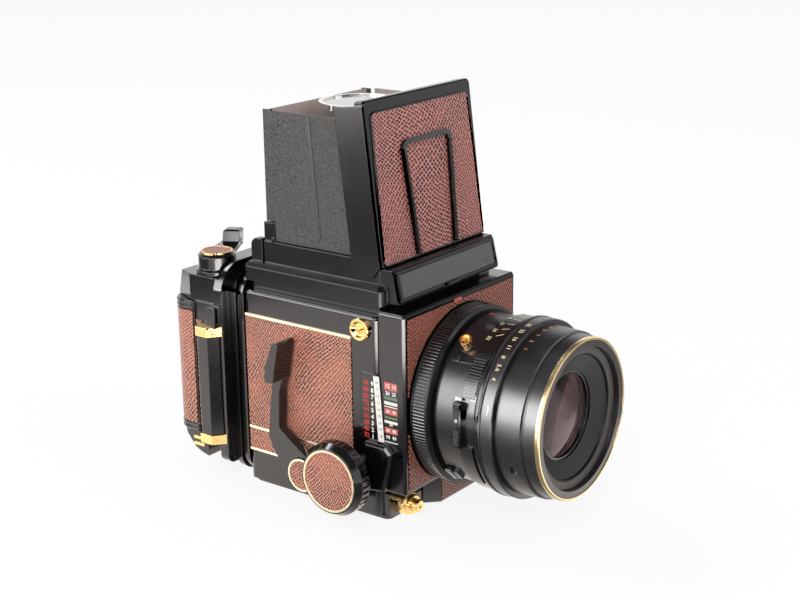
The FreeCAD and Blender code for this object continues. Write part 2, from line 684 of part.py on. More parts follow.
def bellows():
    """Folded bellows between the casing and the standard, a ruled accordion."""
    folds = int(D.fold_count.value)
    pitch = D.bellows_long.value / folds
    start = STANDARD_BACK.value + D.fit_gap.value

    def frame(half_x, half_z, y):
        corners = [Vector(-half_x, y, -half_z), Vector(half_x, y, -half_z),
                   Vector(half_x, y, half_z), Vector(-half_x, y, half_z)]
        return Part.makePolygon(corners + corners[:1])

    def accordion(shrink):
        frames = []
        for i in range(2 * folds + 1):
            sunk = shrink + (D.fold_deep.value if i % 2 else 0)
            y = start + pitch * i / 2
            frames.append(frame(BELLOWS_X.value - sunk, D.bellows_half_z.value - sunk, y))
        return Part.makeLoft(frames, True, True)

    shape = accordion(0).cut(accordion(D.fold_wall.value))
    feature = DOCUMENT.addObject("Part::Feature", "Bellows")
    feature.Shape = shape
    place(feature, 0, 0, D.lens_height)
    keep(feature, "bellows")


# Focus drive

def tooth_wire(count, module, play):
    """The outline of a spur pinion: each flank is an arc through three involute points."""
    pitch = module * count / 2
    base = pitch * math.cos(math.radians(20))
    tip = pitch + 0.8 * module
    root = pitch - 1.15 * module
    half_tooth = math.pi / (2 * count) - play / (2 * pitch)

    def spread(radius):
        angle = math.acos(min(1.0, base / radius))
        return math.tan(angle) - angle

    def point(radius, turn):
        return Vector(radius * math.cos(turn), radius * math.sin(turn), 0)

    start = max(base, root)
    middle = (start + tip) / 2
    at_pitch = spread(pitch)
    edges = []
    previous = None
    first = None
    for number in range(count):
        axis = 2 * math.pi * number / count
        flanks = []
        for side in (-1, 1):
            flank = []
            for radius in (start, middle, tip):
                turn = axis + side * (half_tooth + at_pitch - spread(radius))
                flank.append(point(radius, turn))
            foot = point(root, axis + side * (half_tooth + at_pitch))
            flanks.append((foot, flank))
        (left_foot, left), (right_foot, right) = flanks
        if previous is not None:
            edges.append(Part.LineSegment(previous, left_foot).toShape())
        first = first or left_foot
        edges.append(Part.LineSegment(left_foot, left[0]).toShape())
        edges.append(Part.Arc(*left).toShape())
        edges.append(Part.LineSegment(left[2], right[2]).toShape())
        edges.append(Part.Arc(right[2], right[1], right[0]).toShape())
        edges.append(Part.LineSegment(right[0], right_foot).toShape())
        previous = right_foot
    edges.append(Part.LineSegment(previous, first).toShape())
    return Part.Wire(edges)


def focus_shaft():
    """Focus shaft with its two pinions, collars and knob seats."""
    length = D.knob_foot * 2 + 8
    shaft = rod(D.shaft_radius, length, (length / -2, -D.shaft_ahead, D.shaft_height), "x")
    pinions = []
    for side in (-1, 1):
        wire = tooth_wire(int(D.tooth_count.value), D.tooth_module.value, D.tooth_play.value)
        teeth = Part.Face(wire).extrude(Vector(0, 0, D.rack_wide.value))
        feature = DOCUMENT.addObject("Part::Feature", "Pinion")
        feature.Shape = teeth
        place(feature, D.rack_middle * side - D.rack_wide / 2, -D.shaft_ahead, D.shaft_height,
              axis=(0, 1, 0), angle=90)
        pinions.append(feature)
    keep(join(shaft, *pinions), "focus_shaft")


def focus_knob(side, label):
    """Ribbed knob with a bevelled face and a recess for its ring and disc."""
    rim, deep = D.knob_rim, D.knob_rim + D.knob_bevel
    seat = D.knob_disc + D.knob_ring
    knob = turned([
        (D.shaft_radius, 0), (D.knob_radius - 2.4, 0), (D.knob_radius - 0.8, 0.9), (D.knob_radius, 1.8),
        (D.knob_radius, rim), (D.knob_face, deep), (seat, deep), (seat, deep - D.disc_thick),
        (0, deep - D.disc_thick), (0, 4), (D.shaft_radius, 4),
    ])
    grooved(knob, D.knob_ribs, D.knob_radius, 1.5, 0.9, 2.2, rim - 0.6)
    place(knob, D.knob_foot * side, -D.shaft_ahead, D.shaft_height, axis=(0, 1, 0), angle=90 * side)
    keep(knob, label)


def knob_trim(label, radius_in, radius_out, low, high):
    """The same flat ring or disc on both focus knobs."""
    pieces = []
    for side in (-1, 1):
        ring = turned([(radius_in, low), (radius_out, low), (radius_out, high), (radius_in, high)])
        place(ring, D.knob_foot * side, -D.shaft_ahead, D.shaft_height, axis=(0, 1, 0), angle=90 * side)
        pieces.append(ring)
    keep(group(*pieces), label)


def shaft_collars():
    """Collars that carry the shaft outside the casing on both sides."""
    pieces = []
    for side in (-1, 1):
        collar = turned([
            (D.shaft_radius + D.run_gap, 0), (D.neck_radius, 0), (D.neck_radius, 6.2),
            (D.neck_radius - 1.5, 7.6), (D.shaft_radius + D.run_gap, 7.6),
        ])
        place(collar, HALF * side, -D.shaft_ahead, D.shaft_height, axis=(0, 1, 0), angle=90 * side)
        pieces.append(collar)
    keep(group(*pieces), "shaft_collars")


def focus_lock_lever():
    """Lock lever on the operator's left collar, behind the knob."""
    length = D.lock_long
    arm = padded("YZ_Plane", [(2, 0), (-2.6, 0), (-2.0, length), (2.4, length)], 1.6)
    round_edges(arm, 1.2, lambda edge: parallel(edge, (1, 0, 0)) and edge.CenterOfMass.z > 1)
    ring = rod(D.neck_radius + 2.6, 1.6, (0, 0, 0), "x")
    tab = box((0, 4.0), (-2.2, 2.2), (length - 3.0, length - 1.4))
    bore = rod(D.neck_radius + D.run_gap, 4, (-1, 0, 0), "x")
    lever = less(join(arm, ring, tab), bore)
    keep(place(lever, HALF + D.leather_thick + 0.5, -D.shaft_ahead, D.shaft_height), "focus_lock_lever")


def cocking_lever():
    """Cranked cocking arm from its hub up to the finger pad."""
    y, z = D.hub_behind, D.hub_height
    thick = D.arm_outer - D.arm_inner
    arm = padded(
        "YZ_Plane",
        [(y - 6.6, z + 7.8), (y + 16.2, z + 23.6), (y + 15.0, z + 45.6), (y + 12.2, z + 54.6),
         (y + 18.6, z + 54.6), (y + 21.6, z + 38.0), (y + 24.0, z + 17.6), (y + 21.0, z + 10.6),
         (y + 7.4, z - 7.0)],
        thick,
    )
    round_edges(arm, 2.4, lambda edge: parallel(edge, (1, 0, 0)) and edge.CenterOfMass.y > y.value + 14)
    place(arm, -D.arm_outer, 0, 0)
    pad = padded(
        "YZ_Plane",
        [(y + 12.4, z + 52.6), (y + 18.9, z + 52.6), (y + 17.8, z + 62.0), (y + 11.6, z + 76.0),
         (y + 7.8, z + 76.4), (y + 10.8, z + 62.0)],
        D.pad_outer - D.arm_inner,
    )
    round_edges(pad, 1.4, lambda edge: parallel(edge, (1, 0, 0)))
    place(pad, -D.pad_outer, 0, 0)
    hub = turned([
        (0, 0), (D.hub_radius - 0.6, 0), (D.hub_radius, 0.6), (D.hub_radius, thick + 0.8),
        (D.hub_radius - 0.5, thick + 1.3), (D.hub_ring, thick + 1.3), (D.hub_ring, thick + 0.6),
        (0, thick + 0.6),
    ])
    place(hub, -D.arm_inner, y, z, axis=(0, 1, 0), angle=-90)
    stub = rod(D.shaft_radius, D.arm_inner - HALF + D.body_wall + 0.5, (-D.arm_inner - 0.5, y, z), "x")
    keep(join(arm, pad, hub, stub), "cocking_lever")


def cocking_trim(label, radius_in, radius_out, high):
    """Ring or disc let into the hub of the cocking lever."""
    low = D.arm_outer - D.arm_inner + 0.6
    ring = turned([(radius_in, low), (radius_out, low), (radius_out, low + high), (radius_in, low + high)])
    keep(place(ring, -D.arm_inner, D.hub_behind, D.hub_height, axis=(0, 1, 0), angle=-90), label)


# Mirror

def mirror():
    """Mirror frame on its hinge pin at forty five degrees, with the glass on it."""
    half = D.mirror_wide / 2
    frame = box((-half, half), (-D.mirror_long, -1.6), (-D.mirror_thick, 0))
    ears = rod(1.8, D.mirror_wide, (-half, 0, 0), "x")
    neck = box((-half + 4, half - 4), (-4, 0.4), (-1.2, 0.6))
    pin = rod(D.pin_radius, CHAMBER * 2 + 5, (-CHAMBER - 2.5, 0, 0), "x")
    pane = box((-half + 3, half - 3), (-D.mirror_long + 3, -5), (-D.mirror_glass, 1))
    held = less(join(frame, ears, neck, pin), pane)
    place(held, 0, D.mirror_behind, D.mirror_height, axis=(1, 0, 0), angle=45)
    keep(held, "mirror_frame")
    edge = 3 + D.fit_gap
    glass = padded("YZ_Plane", [
        (edge - D.mirror_long, -D.mirror_glass), (-5 - D.fit_gap, -D.mirror_glass),
        (-5 - D.fit_gap, 0), (edge - D.mirror_long, 0),
    ], D.mirror_wide - edge * 2)
    place(glass, edge - half, D.mirror_behind, D.mirror_height, axis=(1, 0, 0), angle=45)
    keep(glass, "mirror_glass")


# Front standard

def front_standard():
    """Front standard with its lens seat and the bulge under the bayonet ring."""
    depth = D.standard_thick
    body = padded(
        "XZ_Plane",
        [(-HALF, D.standard_low), (HALF, D.standard_low), (HALF, D.standard_high), (-HALF, D.standard_high)],
        depth,
    )
    round_edges(body, 1.8, lambda edge: parallel(edge, (0, 1, 0)))
    DOCUMENT.recompute()
    face = body.Shape.BoundBox.YMin
    round_edges(body, 1.2, lambda edge: abs(edge.CenterOfMass.y - face) < 0.01, "PartDesign::Chamfer")
    place(body, 0, -D.standard_front + depth, 0)
    half = D.bulge_wide / 2
    front, back = -D.standard_front, -D.standard_front + depth
    bulge = padded(
        "XY_Plane",
        [(-half, back), (-half, front + D.bulge_chamfer), (D.bulge_chamfer - half, front),
         (half - D.bulge_chamfer, front), (half, front + D.bulge_chamfer), (half, back)],
        D.standard_low - D.bulge_low + 3,
    )
    place(bulge, 0, 0, D.bulge_low)
    low_cut = box((-half - 1, half + 1), (back - 8, back + 1), (D.bulge_low - 1, D.foot_high + 0.8))
    bore = rod(D.mount_bore, depth + 2, (0, back + 1, D.lens_height), "-y")
    keep(less(join(body, bulge), bore, low_cut), "front_standard")


def standard_leather():
    """Leather of the standard's face: the corners that the bayonet ring leaves."""
    inset = 3.0
    low, high = D.standard_low + inset, D.standard_high - inset
    front = -D.standard_front
    panel = box((-HALF + inset, HALF - inset), (front - D.leather_thick, front), (low, high))
    hole = rod(D.bayonet_radius + 0.6, 4, (0, front + 1, D.lens_height), "-y")
    half = D.bulge_wide / 2 - D.bulge_chamfer
    apron = box((-half + 0.5, half - 0.5), (front - D.leather_thick, front), (D.bulge_low + 1.4, low + 1))
    keep(less(join(panel, apron), hole), "standard_leather")


def focus_racks():
    """Two toothed rails that carry the standard through the casing."""
    module, play = D.tooth_module.value, D.tooth_play.value
    pitch = math.pi * module
    slope = math.tan(math.radians(20))
    above, below = 0.8 * module, 1.15 * module
    start = -D.standard_front.value + D.standard_thick.value
    length = D.rack_long.value
    phase = -D.shaft_ahead.value
    rails = []
    for side in (-1, 1):
        points = [(start, D.rack_high.value), (start, below)]
        number = math.ceil((start + 1.6 - phase) / pitch - 0.5)
        while phase + (number + 0.5) * pitch + 1.6 < start + length:
            centre = phase + (number + 0.5) * pitch
            half = pitch / 4 - play / 2
            points += [(centre - half - below * slope, below), (centre - half + above * slope, -above),
                       (centre + half - above * slope, -above), (centre + half + below * slope, below)]
            number += 1
        points += [(start + length, below), (start + length, D.rack_high.value)]
        corners = [Vector(0, y, z) for y, z in points]
        face = Part.Face(Part.makePolygon(corners + corners[:1]))
        feature = DOCUMENT.addObject("Part::Feature", "Rack")
        feature.Shape = face.extrude(Vector(D.rack_wide.value, 0, 0))
        place(feature, D.rack_middle * side - D.rack_wide / 2, 0, RACK_PITCH)
        rails.append(feature)
    keep(group(*rails), "focus_racks")


# Lens, each piece turned about the lens axis and counted from the standard's face

def bayonet_ring():
    """Lock ring of the lens seat with its grip band between two lips."""
    lip, sunk = 1.5, 0.5
    ring = turned([
        (D.core_radius + D.run_gap, D.bayonet_from), (D.bayonet_radius - 1.0, D.bayonet_from),
        (D.bayonet_radius, D.bayonet_from + 1.0), (D.bayonet_radius, D.bayonet_from + lip),
        (D.bayonet_radius - sunk, D.bayonet_from + lip + sunk),
        (D.bayonet_radius - sunk, D.bayonet_to - lip - sunk),
        (D.bayonet_radius, D.bayonet_to - lip), (D.bayonet_radius, D.bayonet_to - 1.0),
        (D.bayonet_radius - 2.0, D.bayonet_to), (D.core_radius + D.run_gap, D.bayonet_to),
    ])
    keep(on_lens_axis(ring), "bayonet_ring")


def round_barrel(thing, turn, radius=0, ahead=0):
    """Put a piece made along +X on the barrel, turned up from its side towards the top."""
    turn = sized(turn)
    angle = math.radians(180 - turn.value)
    place(thing, sized(radius) * math.cos(angle), sized(radius) * math.sin(angle), ahead, angle=180 - turn)
    return thing


def barrel_arc(radius_in, radius_out, low, high, turn, span):
    """A curved block on the barrel: a ring section revolved by its span."""
    block = turned([(radius_in, low), (radius_out, low), (radius_out, high), (radius_in, high)], span)
    return round_barrel(block, turn)


def rear_barrel():
    """Lens core with its rear barrel, flange, the seats of the rings and the raised control blocks."""
    barrel = turned([
        (D.core_bore, -12), (D.mount_bore - D.fit_gap, -12), (D.mount_bore - D.fit_gap, 0),
        (D.mount_bore + 3, 0), (D.mount_bore + 3, D.bayonet_from - D.ring_gap),
        (D.core_radius, D.bayonet_from - D.ring_gap), (D.core_radius, D.bayonet_to + D.ring_gap),
        (D.barrel_radius - 1.6, D.bayonet_to + D.ring_gap), (D.barrel_radius - 1.6, D.barrel_from),
        (D.barrel_radius, D.barrel_from + 0.8), (D.barrel_radius, D.barrel_to),
        (D.core_radius, D.barrel_to), (D.core_radius, D.groove_at - 4), (D.core_bore, D.groove_at - 4),
        (D.core_bore, D.iris_at), (D.core_bore - 3, D.iris_at), (D.core_bore - 3, D.iris_at - 2),
        (D.core_bore, D.iris_at - 2), (D.core_bore, -5), (D.rear_glass_radius - 1.5, -5),
        (D.rear_glass_radius - 1.5, -6), (D.rear_glass_radius + D.fit_gap, -6),
        (D.rear_glass_radius + D.fit_gap, -9), (D.core_bore, -9),
    ])
    skin, edge = D.barrel_radius - 1, D.barrel_to
    socket_plate = barrel_arc(skin, D.barrel_radius + 0.9, D.sync_at - 5.2, edge, D.sync_turn, 25)
    release_block = barrel_arc(skin, D.barrel_radius + 1.8, edge - 6.2, edge, D.sync_turn + 22, 5)
    lever_block = barrel_arc(skin, D.barrel_radius + 2.6, edge - 3.6, edge, 5.5, 25)
    catch = barrel_arc(skin, D.barrel_radius + 2.0, D.barrel_from + 3, D.barrel_from + 8, -44, 9)
    seat = round_barrel(group(rod(D.sync_radius + 1.3, 3.0, (0, 0, 0), "x")), D.sync_turn,
                        D.barrel_radius - 1.2, D.sync_at)
    keep(on_lens_axis(join(barrel, socket_plate, release_block, lever_block, catch, seat)),
         "lens_rear_barrel")


def sync_socket():
    """Flash socket: an open threaded sleeve with its centre pin."""
    sleeve = turned([(D.sync_radius - 0.9, 0.6), (D.sync_radius - 0.9, 4.2), (D.sync_radius, 4.2),
                     (D.sync_radius, 0),
                     (0, 0), (0, 3.4), (0.9, 3.4), (0.9, 0.6)])
    place(sleeve, 0, 0, 0, axis=(0, 1, 0), angle=90)
    socket = round_barrel(group(sleeve), D.sync_turn, D.barrel_radius + 1.8, D.sync_at)
    keep(on_lens_axis(group(socket)), "sync_socket")


def plain_ring(radius, start, end):
    """A turning ring of the lens with both edges chamfered."""
    edge = 0.5
    return turned([
        (D.core_radius + D.run_gap, start), (radius - edge, start), (radius, start + edge),
        (radius, end - edge), (radius - edge, end), (D.core_radius + D.run_gap, end),
    ])


def speed_ring():
    """Speed ring with a grooved grip on each side and a smooth block below the first."""
    start, end = D.barrel_to + D.ring_gap, D.speed_to
    grips = []
    for turn in (D.grip_turn, 180 - D.grip_turn):
        grip = barrel_arc(D.speed_radius - 1, D.grip_radius, start + 0.6, end - 1.2, turn, D.grip_span)
        grooves = []
        ribs = int(D.grip_ribs.value)
        for number in range(ribs):
            at = turn + D.grip_span * ((number + 0.5) / ribs - 0.5)
            groove = box((D.grip_radius - 0.6, D.grip_radius + 1), (-0.4, 0.4), (0, end - start))
            grooves.append(round_barrel(group(groove), at, 0, start))
        grips.append(less(grip, *grooves))
    block = barrel_arc(D.speed_radius - 1, D.grip_radius, start + 0.6, end - 1.2, D.grip_turn - 60, 32)
    keep(on_lens_axis(join(plain_ring(D.speed_radius, start, end), *grips, block)), "speed_ring")


def front_barrel():
    """Tapered front barrel with its groove, the filter thread and the inner cone."""
    wall = D.core_radius + D.run_gap
    front = D.lens_to - D.rim_long
    lip = D.glass_at - 2.6
    barrel = turned([
        (wall, D.depth_to + D.ring_gap), (D.front_radius, D.depth_to + D.ring_gap),
        (D.front_radius - 0.6, D.groove_at - 0.8), (D.front_radius - 1.8, D.groove_at - 0.4),
        (D.front_radius - 1.8, D.groove_at + 0.4), (D.rim_radius + 0.4, D.groove_at + 0.8),
        (D.rim_radius, front), (D.rim_radius - 1.4, front), (D.rim_radius - 1.4, D.lens_to - 0.4),
        (D.filter_radius, D.lens_to - 0.4), (D.filter_radius, D.lens_to - 0.4 - D.filter_deep),
        (D.filter_radius - 2.5, D.lens_to - 0.8 - D.filter_deep), (D.glass_radius + 1.2, D.glass_at + 1.8),
        (D.glass_radius - 1.0, D.glass_at + 1.8), (D.glass_radius - 1.0, D.glass_at + 1.1),
        (D.glass_radius + D.fit_gap, D.glass_at + 1.1), (D.glass_radius + D.fit_gap, D.glass_at - 1.4),
        (D.glass_radius - 1.0, D.glass_at - 1.4), (D.glass_radius - 1.0, lip), (D.core_bore - 1, lip),
        (D.core_bore - 1, D.groove_at - 4), (wall, D.groove_at - 4),
    ])
    slot = barrel_arc(D.front_radius - 1.6, D.front_radius + 1, D.groove_at - 8.2, D.groove_at - 4.6,
                      -24.5, 6.5)
    keep(on_lens_axis(less(barrel, slot)), "lens_front_barrel")


def lens_rim():
    """Gold rim round the front edge."""
    front = D.lens_to - D.rim_long
    rim = turned([
        (D.rim_radius - 1.4, front), (D.rim_radius, front), (D.rim_radius, D.lens_to - 0.5),
        (D.rim_radius - 0.5, D.lens_to), (D.rim_radius - 1.4, D.lens_to),
    ])
    keep(on_lens_axis(rim), "lens_rim")


def lens_glass(label, radius, face_at, bulge, thick, outward):
    """A lens element with a plane seat and a domed face: a rod cut by a ball."""
    radius, bulge, thick = sized(radius), sized(bulge), sized(thick)
    ball_radius = (radius * radius + bulge * bulge) / (bulge * 2)
    ball = DOCUMENT.addObject("Part::Sphere", "Ball")
    ball.setExpression("Radius", ball_radius.text)
    place(ball, 0, 0, thick + bulge - ball_radius)
    element = DOCUMENT.addObject("Part::MultiCommon", "Element")
    element.Shapes = [rod(radius, thick + bulge, (0, 0, 0)), ball]
    place(element, 0, -(D.standard_front + face_at), D.lens_height, axis=(1, 0, 0),
          angle=90 if outward else -90)
    keep(element, label)


def iris_blades():
    """Five curved blades stacked round the opening, each on its own level."""
    count = int(D.blade_count.value)
    blades = []
    for number in range(count):
        outer = D.core_bore.value - 0.2
        inner = D.stop_open.value
        middle = (outer + inner) / 2
        reach = math.radians(104)
        half = (outer - inner) / 2 - 0.4

        def on_ring(radius, angle):
            return Vector(radius * math.cos(angle), radius * math.sin(angle), 0)

        low, high = middle - half, middle + half
        edges = [
            Part.Arc(on_ring(low, 0), on_ring(low, reach / 2), on_ring(low, reach)).toShape(),
            Part.LineSegment(on_ring(low, reach), on_ring(high, reach)).toShape(),
            Part.Arc(on_ring(high, reach), on_ring(high, reach / 2), on_ring(high, 0)).toShape(),
            Part.LineSegment(on_ring(high, 0), on_ring(low, 0)).toShape(),
        ]
        blade = Part.Face(Part.Wire(edges)).extrude(Vector(0, 0, D.blade_thick.value))
        blade.rotate(Vector(0, 0, 0), Vector(0, 0, 1), 360 / count * number)
        blade.translate(Vector(0, 0, D.blade_thick.value * number))
        feature = DOCUMENT.addObject("Part::Feature", "Blade")
        feature.Shape = blade
        blades.append(feature)
    keep(on_lens_axis(group(*blades), D.iris_at), "iris_blades")


# Hood

LEAN = math.radians(D.lid_lean.value)
AWAY = D.lid_ahead - D.glass_arm_ahead
RISE = D.glass_arm_height - D.lid_height
GLASS_Y = AWAY * math.cos(LEAN) - RISE * math.sin(LEAN)
GLASS_Z = AWAY * math.sin(LEAN) + RISE * math.cos(LEAN)
NOSE_FOOT = D.plate_thick - D.nose_front
NOSE_LEAN = math.radians(D.nose_lean.value)
NOSE_SLOPE = math.tan(NOSE_LEAN)


def hood_base():
    """Hood base: flange, upper frame with its ears, nose with its bare plate, hinge lugs."""
    flange = padded(
        "XY_Plane",
        [(D.hood_wide / -2, -D.hood_front), (D.hood_wide / 2, -D.hood_front),
         (D.hood_wide / 2, D.hood_back), (D.hood_wide / -2, D.hood_back)],
        D.hood_lip - D.hood_low,
    )
    round_edges(flange, 3.0, lambda edge: parallel(edge, (0, 0, 1)))
    DOCUMENT.recompute()
    top = flange.Shape.BoundBox.ZMax
    round_edges(flange, 2.4, lambda edge: abs(edge.CenterOfMass.z - top) < 0.01, "PartDesign::Chamfer")
    place(flange, 0, 0, D.hood_low)
    half = D.frame_wide / 2
    neck = box((-half, half), (-D.frame_front, D.hood_back - 3), (D.body_high, D.hood_low + 1))
    frame = box((-half, half), (-D.frame_front, D.frame_back), (D.hood_lip - 1, D.frame_high))
    high_wall = box((half - D.frame_wall, half), (D.lid_return - D.lid_ahead, D.frame_back),
                    (D.frame_high - 1, D.frame_high + D.leaf_step))
    ear_front, ear_top = D.frame_back + D.ear_gap, D.frame_high + 0.6
    ear_back = ear_front + D.ear_deep
    ears = []
    for x in (-half, half - 4):
        ear = padded(
            "YZ_Plane",
            [(ear_front, D.hood_lip - 1), (ear_back, D.hood_lip - 1), (ear_back, ear_top),
             (ear_front, ear_top)],
            4,
        )
        round_edges(ear, 4.4, lambda edge: parallel(edge, (1, 0, 0))
                    and edge.CenterOfMass.y > ear_back.value - 0.1
                    and edge.CenterOfMass.z > ear_top.value - 0.1)
        ears.append(place(ear, x, 0, 0))
    rear_wall = box((D.rear_wide / -2, D.rear_wide / 2), (D.rear_plane - 1.2, D.rear_plane + 1.2),
                    (D.hood_lip, D.rear_hinge - 1.3))
    nose = padded(
        "YZ_Plane",
        [(1 - D.frame_front, D.nose_low), (NOSE_FOOT, D.nose_low),
         (NOSE_FOOT + (D.nose_high - D.nose_low) * NOSE_SLOPE, D.nose_high),
         (1 - D.frame_front, D.nose_high)],
        D.nose_wide,
    )
    place(nose, D.nose_wide / -2, 0, 0)
    lugs = []
    for x in (3 - half, half - 9):
        lugs.append(rod(D.hinge_radius, 6, (x, -D.lid_ahead, D.lid_height), "x"))
        lugs.append(box((x, x + 6), (-D.lid_ahead - D.hinge_radius, 1 - D.frame_front),
                        (D.nose_high - 1, D.lid_height)))
    pin = rod(D.pin_radius, D.frame_wide - 8, (-half + 4, -D.lid_ahead, D.lid_height), "x")
    well = D.well_wide / 2
    solid = join(flange, neck, frame, high_wall, *ears, rear_wall, nose, *lugs)
    bearings, bores = hinge_bearings(half)
    cavity = box((-well, well), (-36, 34), (D.body_high - 1, D.hood_lip + 2))
    upper = box((D.frame_wall - half, half - D.frame_wall), (-36, 34), (D.hood_lip, D.frame_high + 6))
    barrel_room = box((-half + 9.2, half - 9.2), (-D.lid_ahead - 3, D.hinge_radius + 0.8 - D.lid_ahead),
                      (D.lid_height - D.hinge_radius - 0.5, D.lid_height + 4))
    hollow = less(solid, cavity, upper, barrel_room)
    keep(less(join(hollow, pin, *bearings), *bores), "hood_base")


def hinge_bearings(half):
    """Small bearings for the stubs of both leaves and of the rear panel, with their bores."""
    bearings, bores = [], []
    gap = D.fit_gap
    bore = D.stub_radius + D.run_gap
    for side in (-1, 1):
        height = D.leaf_hinge if side < 0 else D.leaf_hinge + D.leaf_step
        x = (-half, -half + 2.7) if side < 0 else (half - 2.7, half)
        for y in (-D.leaf_front_low - gap - 2.2, D.leaf_back + gap):
            bearings.append(box(x, (y, y + 2.2), (D.frame_high - 3, height + 1.1)))
        bores.append(rod(bore, D.leaf_front_low + D.leaf_back + D.stub_long * 2 + gap * 2,
                         (D.leaf_plane * side, -D.leaf_front_low - D.stub_long - gap, height), "y"))
        edge = D.rear_wide / 2 + gap
        x = (-edge - 2.4, -edge) if side < 0 else (edge, edge + 2.4)
        bearings.append(box(x, (D.leaf_back + 0.35, D.rear_plane + 3.2),
                            (D.frame_high - 3, D.rear_hinge + 2.4)))
    bores.append(rod(bore, D.rear_wide + D.stub_long * 2 + gap * 2,
                     (D.rear_wide / -2 - D.stub_long - gap, D.rear_plane, D.rear_hinge), "x"))
    return bearings, bores


def nose_plate():
    """Bare plate with a raised bevelled frame and its catch tab."""
    wide, high = D.nose_wide - 2, (D.nose_high - D.nose_low) / math.cos(NOSE_LEAN) - 1.4
    plate = padded("XZ_Plane", [(wide / -2, 0), (wide / 2, 0), (wide / 2, high), (wide / -2, high)],
                   D.plate_thick)
    round_edges(plate, 1.2, lambda edge: parallel(edge, (0, 1, 0)))
    DOCUMENT.recompute()
    face = plate.Shape.BoundBox.YMin
    round_edges(plate, 0.5, lambda edge: abs(edge.CenterOfMass.y - face) < 0.01, "PartDesign::Chamfer")
    sunk = box((wide / -2 + 2.2, wide / 2 - 2.2), (-D.plate_thick - 1, 0.6 - D.plate_thick),
               (2.2, high - 2.2))
    tab = box((-5, 5), (-D.plate_thick - 1.4, -D.plate_thick + 1), (0.2, 2.0))
    plate = join(less(plate, sunk), tab)
    place(plate, 0, NOSE_FOOT + 0.7 * NOSE_SLOPE, D.nose_low + 0.7, axis=(1, 0, 0), angle=-D.nose_lean)
    keep(plate, "nose_plate")


def on_lid(thing):
    """Put a piece made upright at the lid's hinge into the raised lid's place."""
    return place(thing, 0, -D.lid_ahead, D.lid_height, axis=(1, 0, 0), angle=-D.lid_lean)


def hood_lid():
    """Lid: a folded sheet with side and top returns, and its hinge barrel."""
    sheet, front = D.lid_sheet, -D.lid_face
    half = D.frame_wide / 2 + D.lid_clear + sheet
    back = D.lid_return + front
    shell = padded("YZ_Plane", [(front, -2.6), (front + 1.4, -2.6), (4.3, -D.lid_foot),
                                (back, -D.lid_foot), (back, D.lid_long),
                                (front, D.lid_long)], half * 2)
    round_edges(shell, 2.6, lambda edge: parallel(edge, (0, 1, 0)) and edge.CenterOfMass.z > 60)
    round_edges(shell, D.lid_round, lambda edge: abs(edge.CenterOfMass.y - front.value) < 0.01
                and edge.CenterOfMass.z > 0)
    place(shell, -half, 0, 0)
    hollow = box((sheet - half, half - sheet), (front + sheet, back + 1),
                 (-D.lid_foot - 1, D.lid_long - sheet))
    open_top = box((sheet - half - 2, half - sheet + 2), (front + D.lid_top_return, back + 1),
                   (D.lid_long - 2 * sheet, D.lid_long + 1))
    foot = D.frame_wide / 2 - 9.6
    barrel = rod(D.hinge_radius, foot * 2, (-foot, 0, 0), "x")
    strap = box((-foot, foot), (front + 0.6, 0), (-D.hinge_radius, D.hinge_radius))
    bore = rod(D.pin_radius + D.run_gap, D.frame_wide, (D.frame_wide / -2, 0, 0), "x")
    ears = []
    ear_in, ear_out = D.glass_barrel / 2 + D.fit_gap, D.glass_barrel / 2 + 2.4
    for x in ((-ear_out, -ear_in), (ear_in, ear_out)):
        ears.append(box(x, (front + 0.6, GLASS_Y + 1.6), (GLASS_Z - 1.7, GLASS_Z + 1.7)))
    stubs = rod(D.stub_radius + D.run_gap, half * 2, (-half, GLASS_Y, GLASS_Z), "x")
    inner_end = box((2 * sheet - half, half - 2 * sheet), (front + 0.6, D.lid_return), (0, GLASS_Z + 4))
    core = join(less(shell, hollow, open_top), barrel, strap)
    room = DOCUMENT.addObject("Part::MultiCommon", "Room")
    room.Shapes = [stubs, inner_end]
    lid = less(join(core, *ears), bore, room)
    keep(on_lid(lid), "hood_lid")


def lid_leather():
    """Leather inset of the lid, a little wider at its foot."""
    panel = padded("XZ_Plane", [(-D.inset_foot, -2.0), (D.inset_foot, -2.0), (D.inset_top, D.inset_high),
                                (-D.inset_top, D.inset_high)], D.leather_thick)
    round_edges(panel, 3.0, lambda edge: parallel(edge, (0, 1, 0)))
    place(panel, 0, -D.lid_face, 0)
    keep(on_lid(group(panel)), "lid_leather")


def lid_moulding():
    """Raised inverted U moulding of the lid."""
    foot, top, high, wall = D.moulding_foot, D.moulding_top, D.moulding_high, D.moulding_wall
    outer = padded("XZ_Plane", [(-foot, -1.0), (foot, -1.0), (top, high), (-top, high)], D.moulding_deep)
    round_edges(outer, 5.0, lambda edge: parallel(edge, (0, 1, 0)) and edge.CenterOfMass.z > 40)
    inner = padded("XZ_Plane", [(wall - foot, -2.0), (foot - wall, -2.0), (top - wall, high - wall),
                                (wall - top, high - wall)], D.moulding_deep + 1)
    round_edges(inner, 3.0, lambda edge: parallel(edge, (0, 1, 0)) and edge.CenterOfMass.z > 40)
    place(inner, 0, 0.5, 0)
    place(outer, 0, 0, 0)
    moulding = place(less(outer, inner), 0, -D.lid_face - D.leather_thick, 0)
    keep(on_lid(group(moulding)), "lid_moulding")


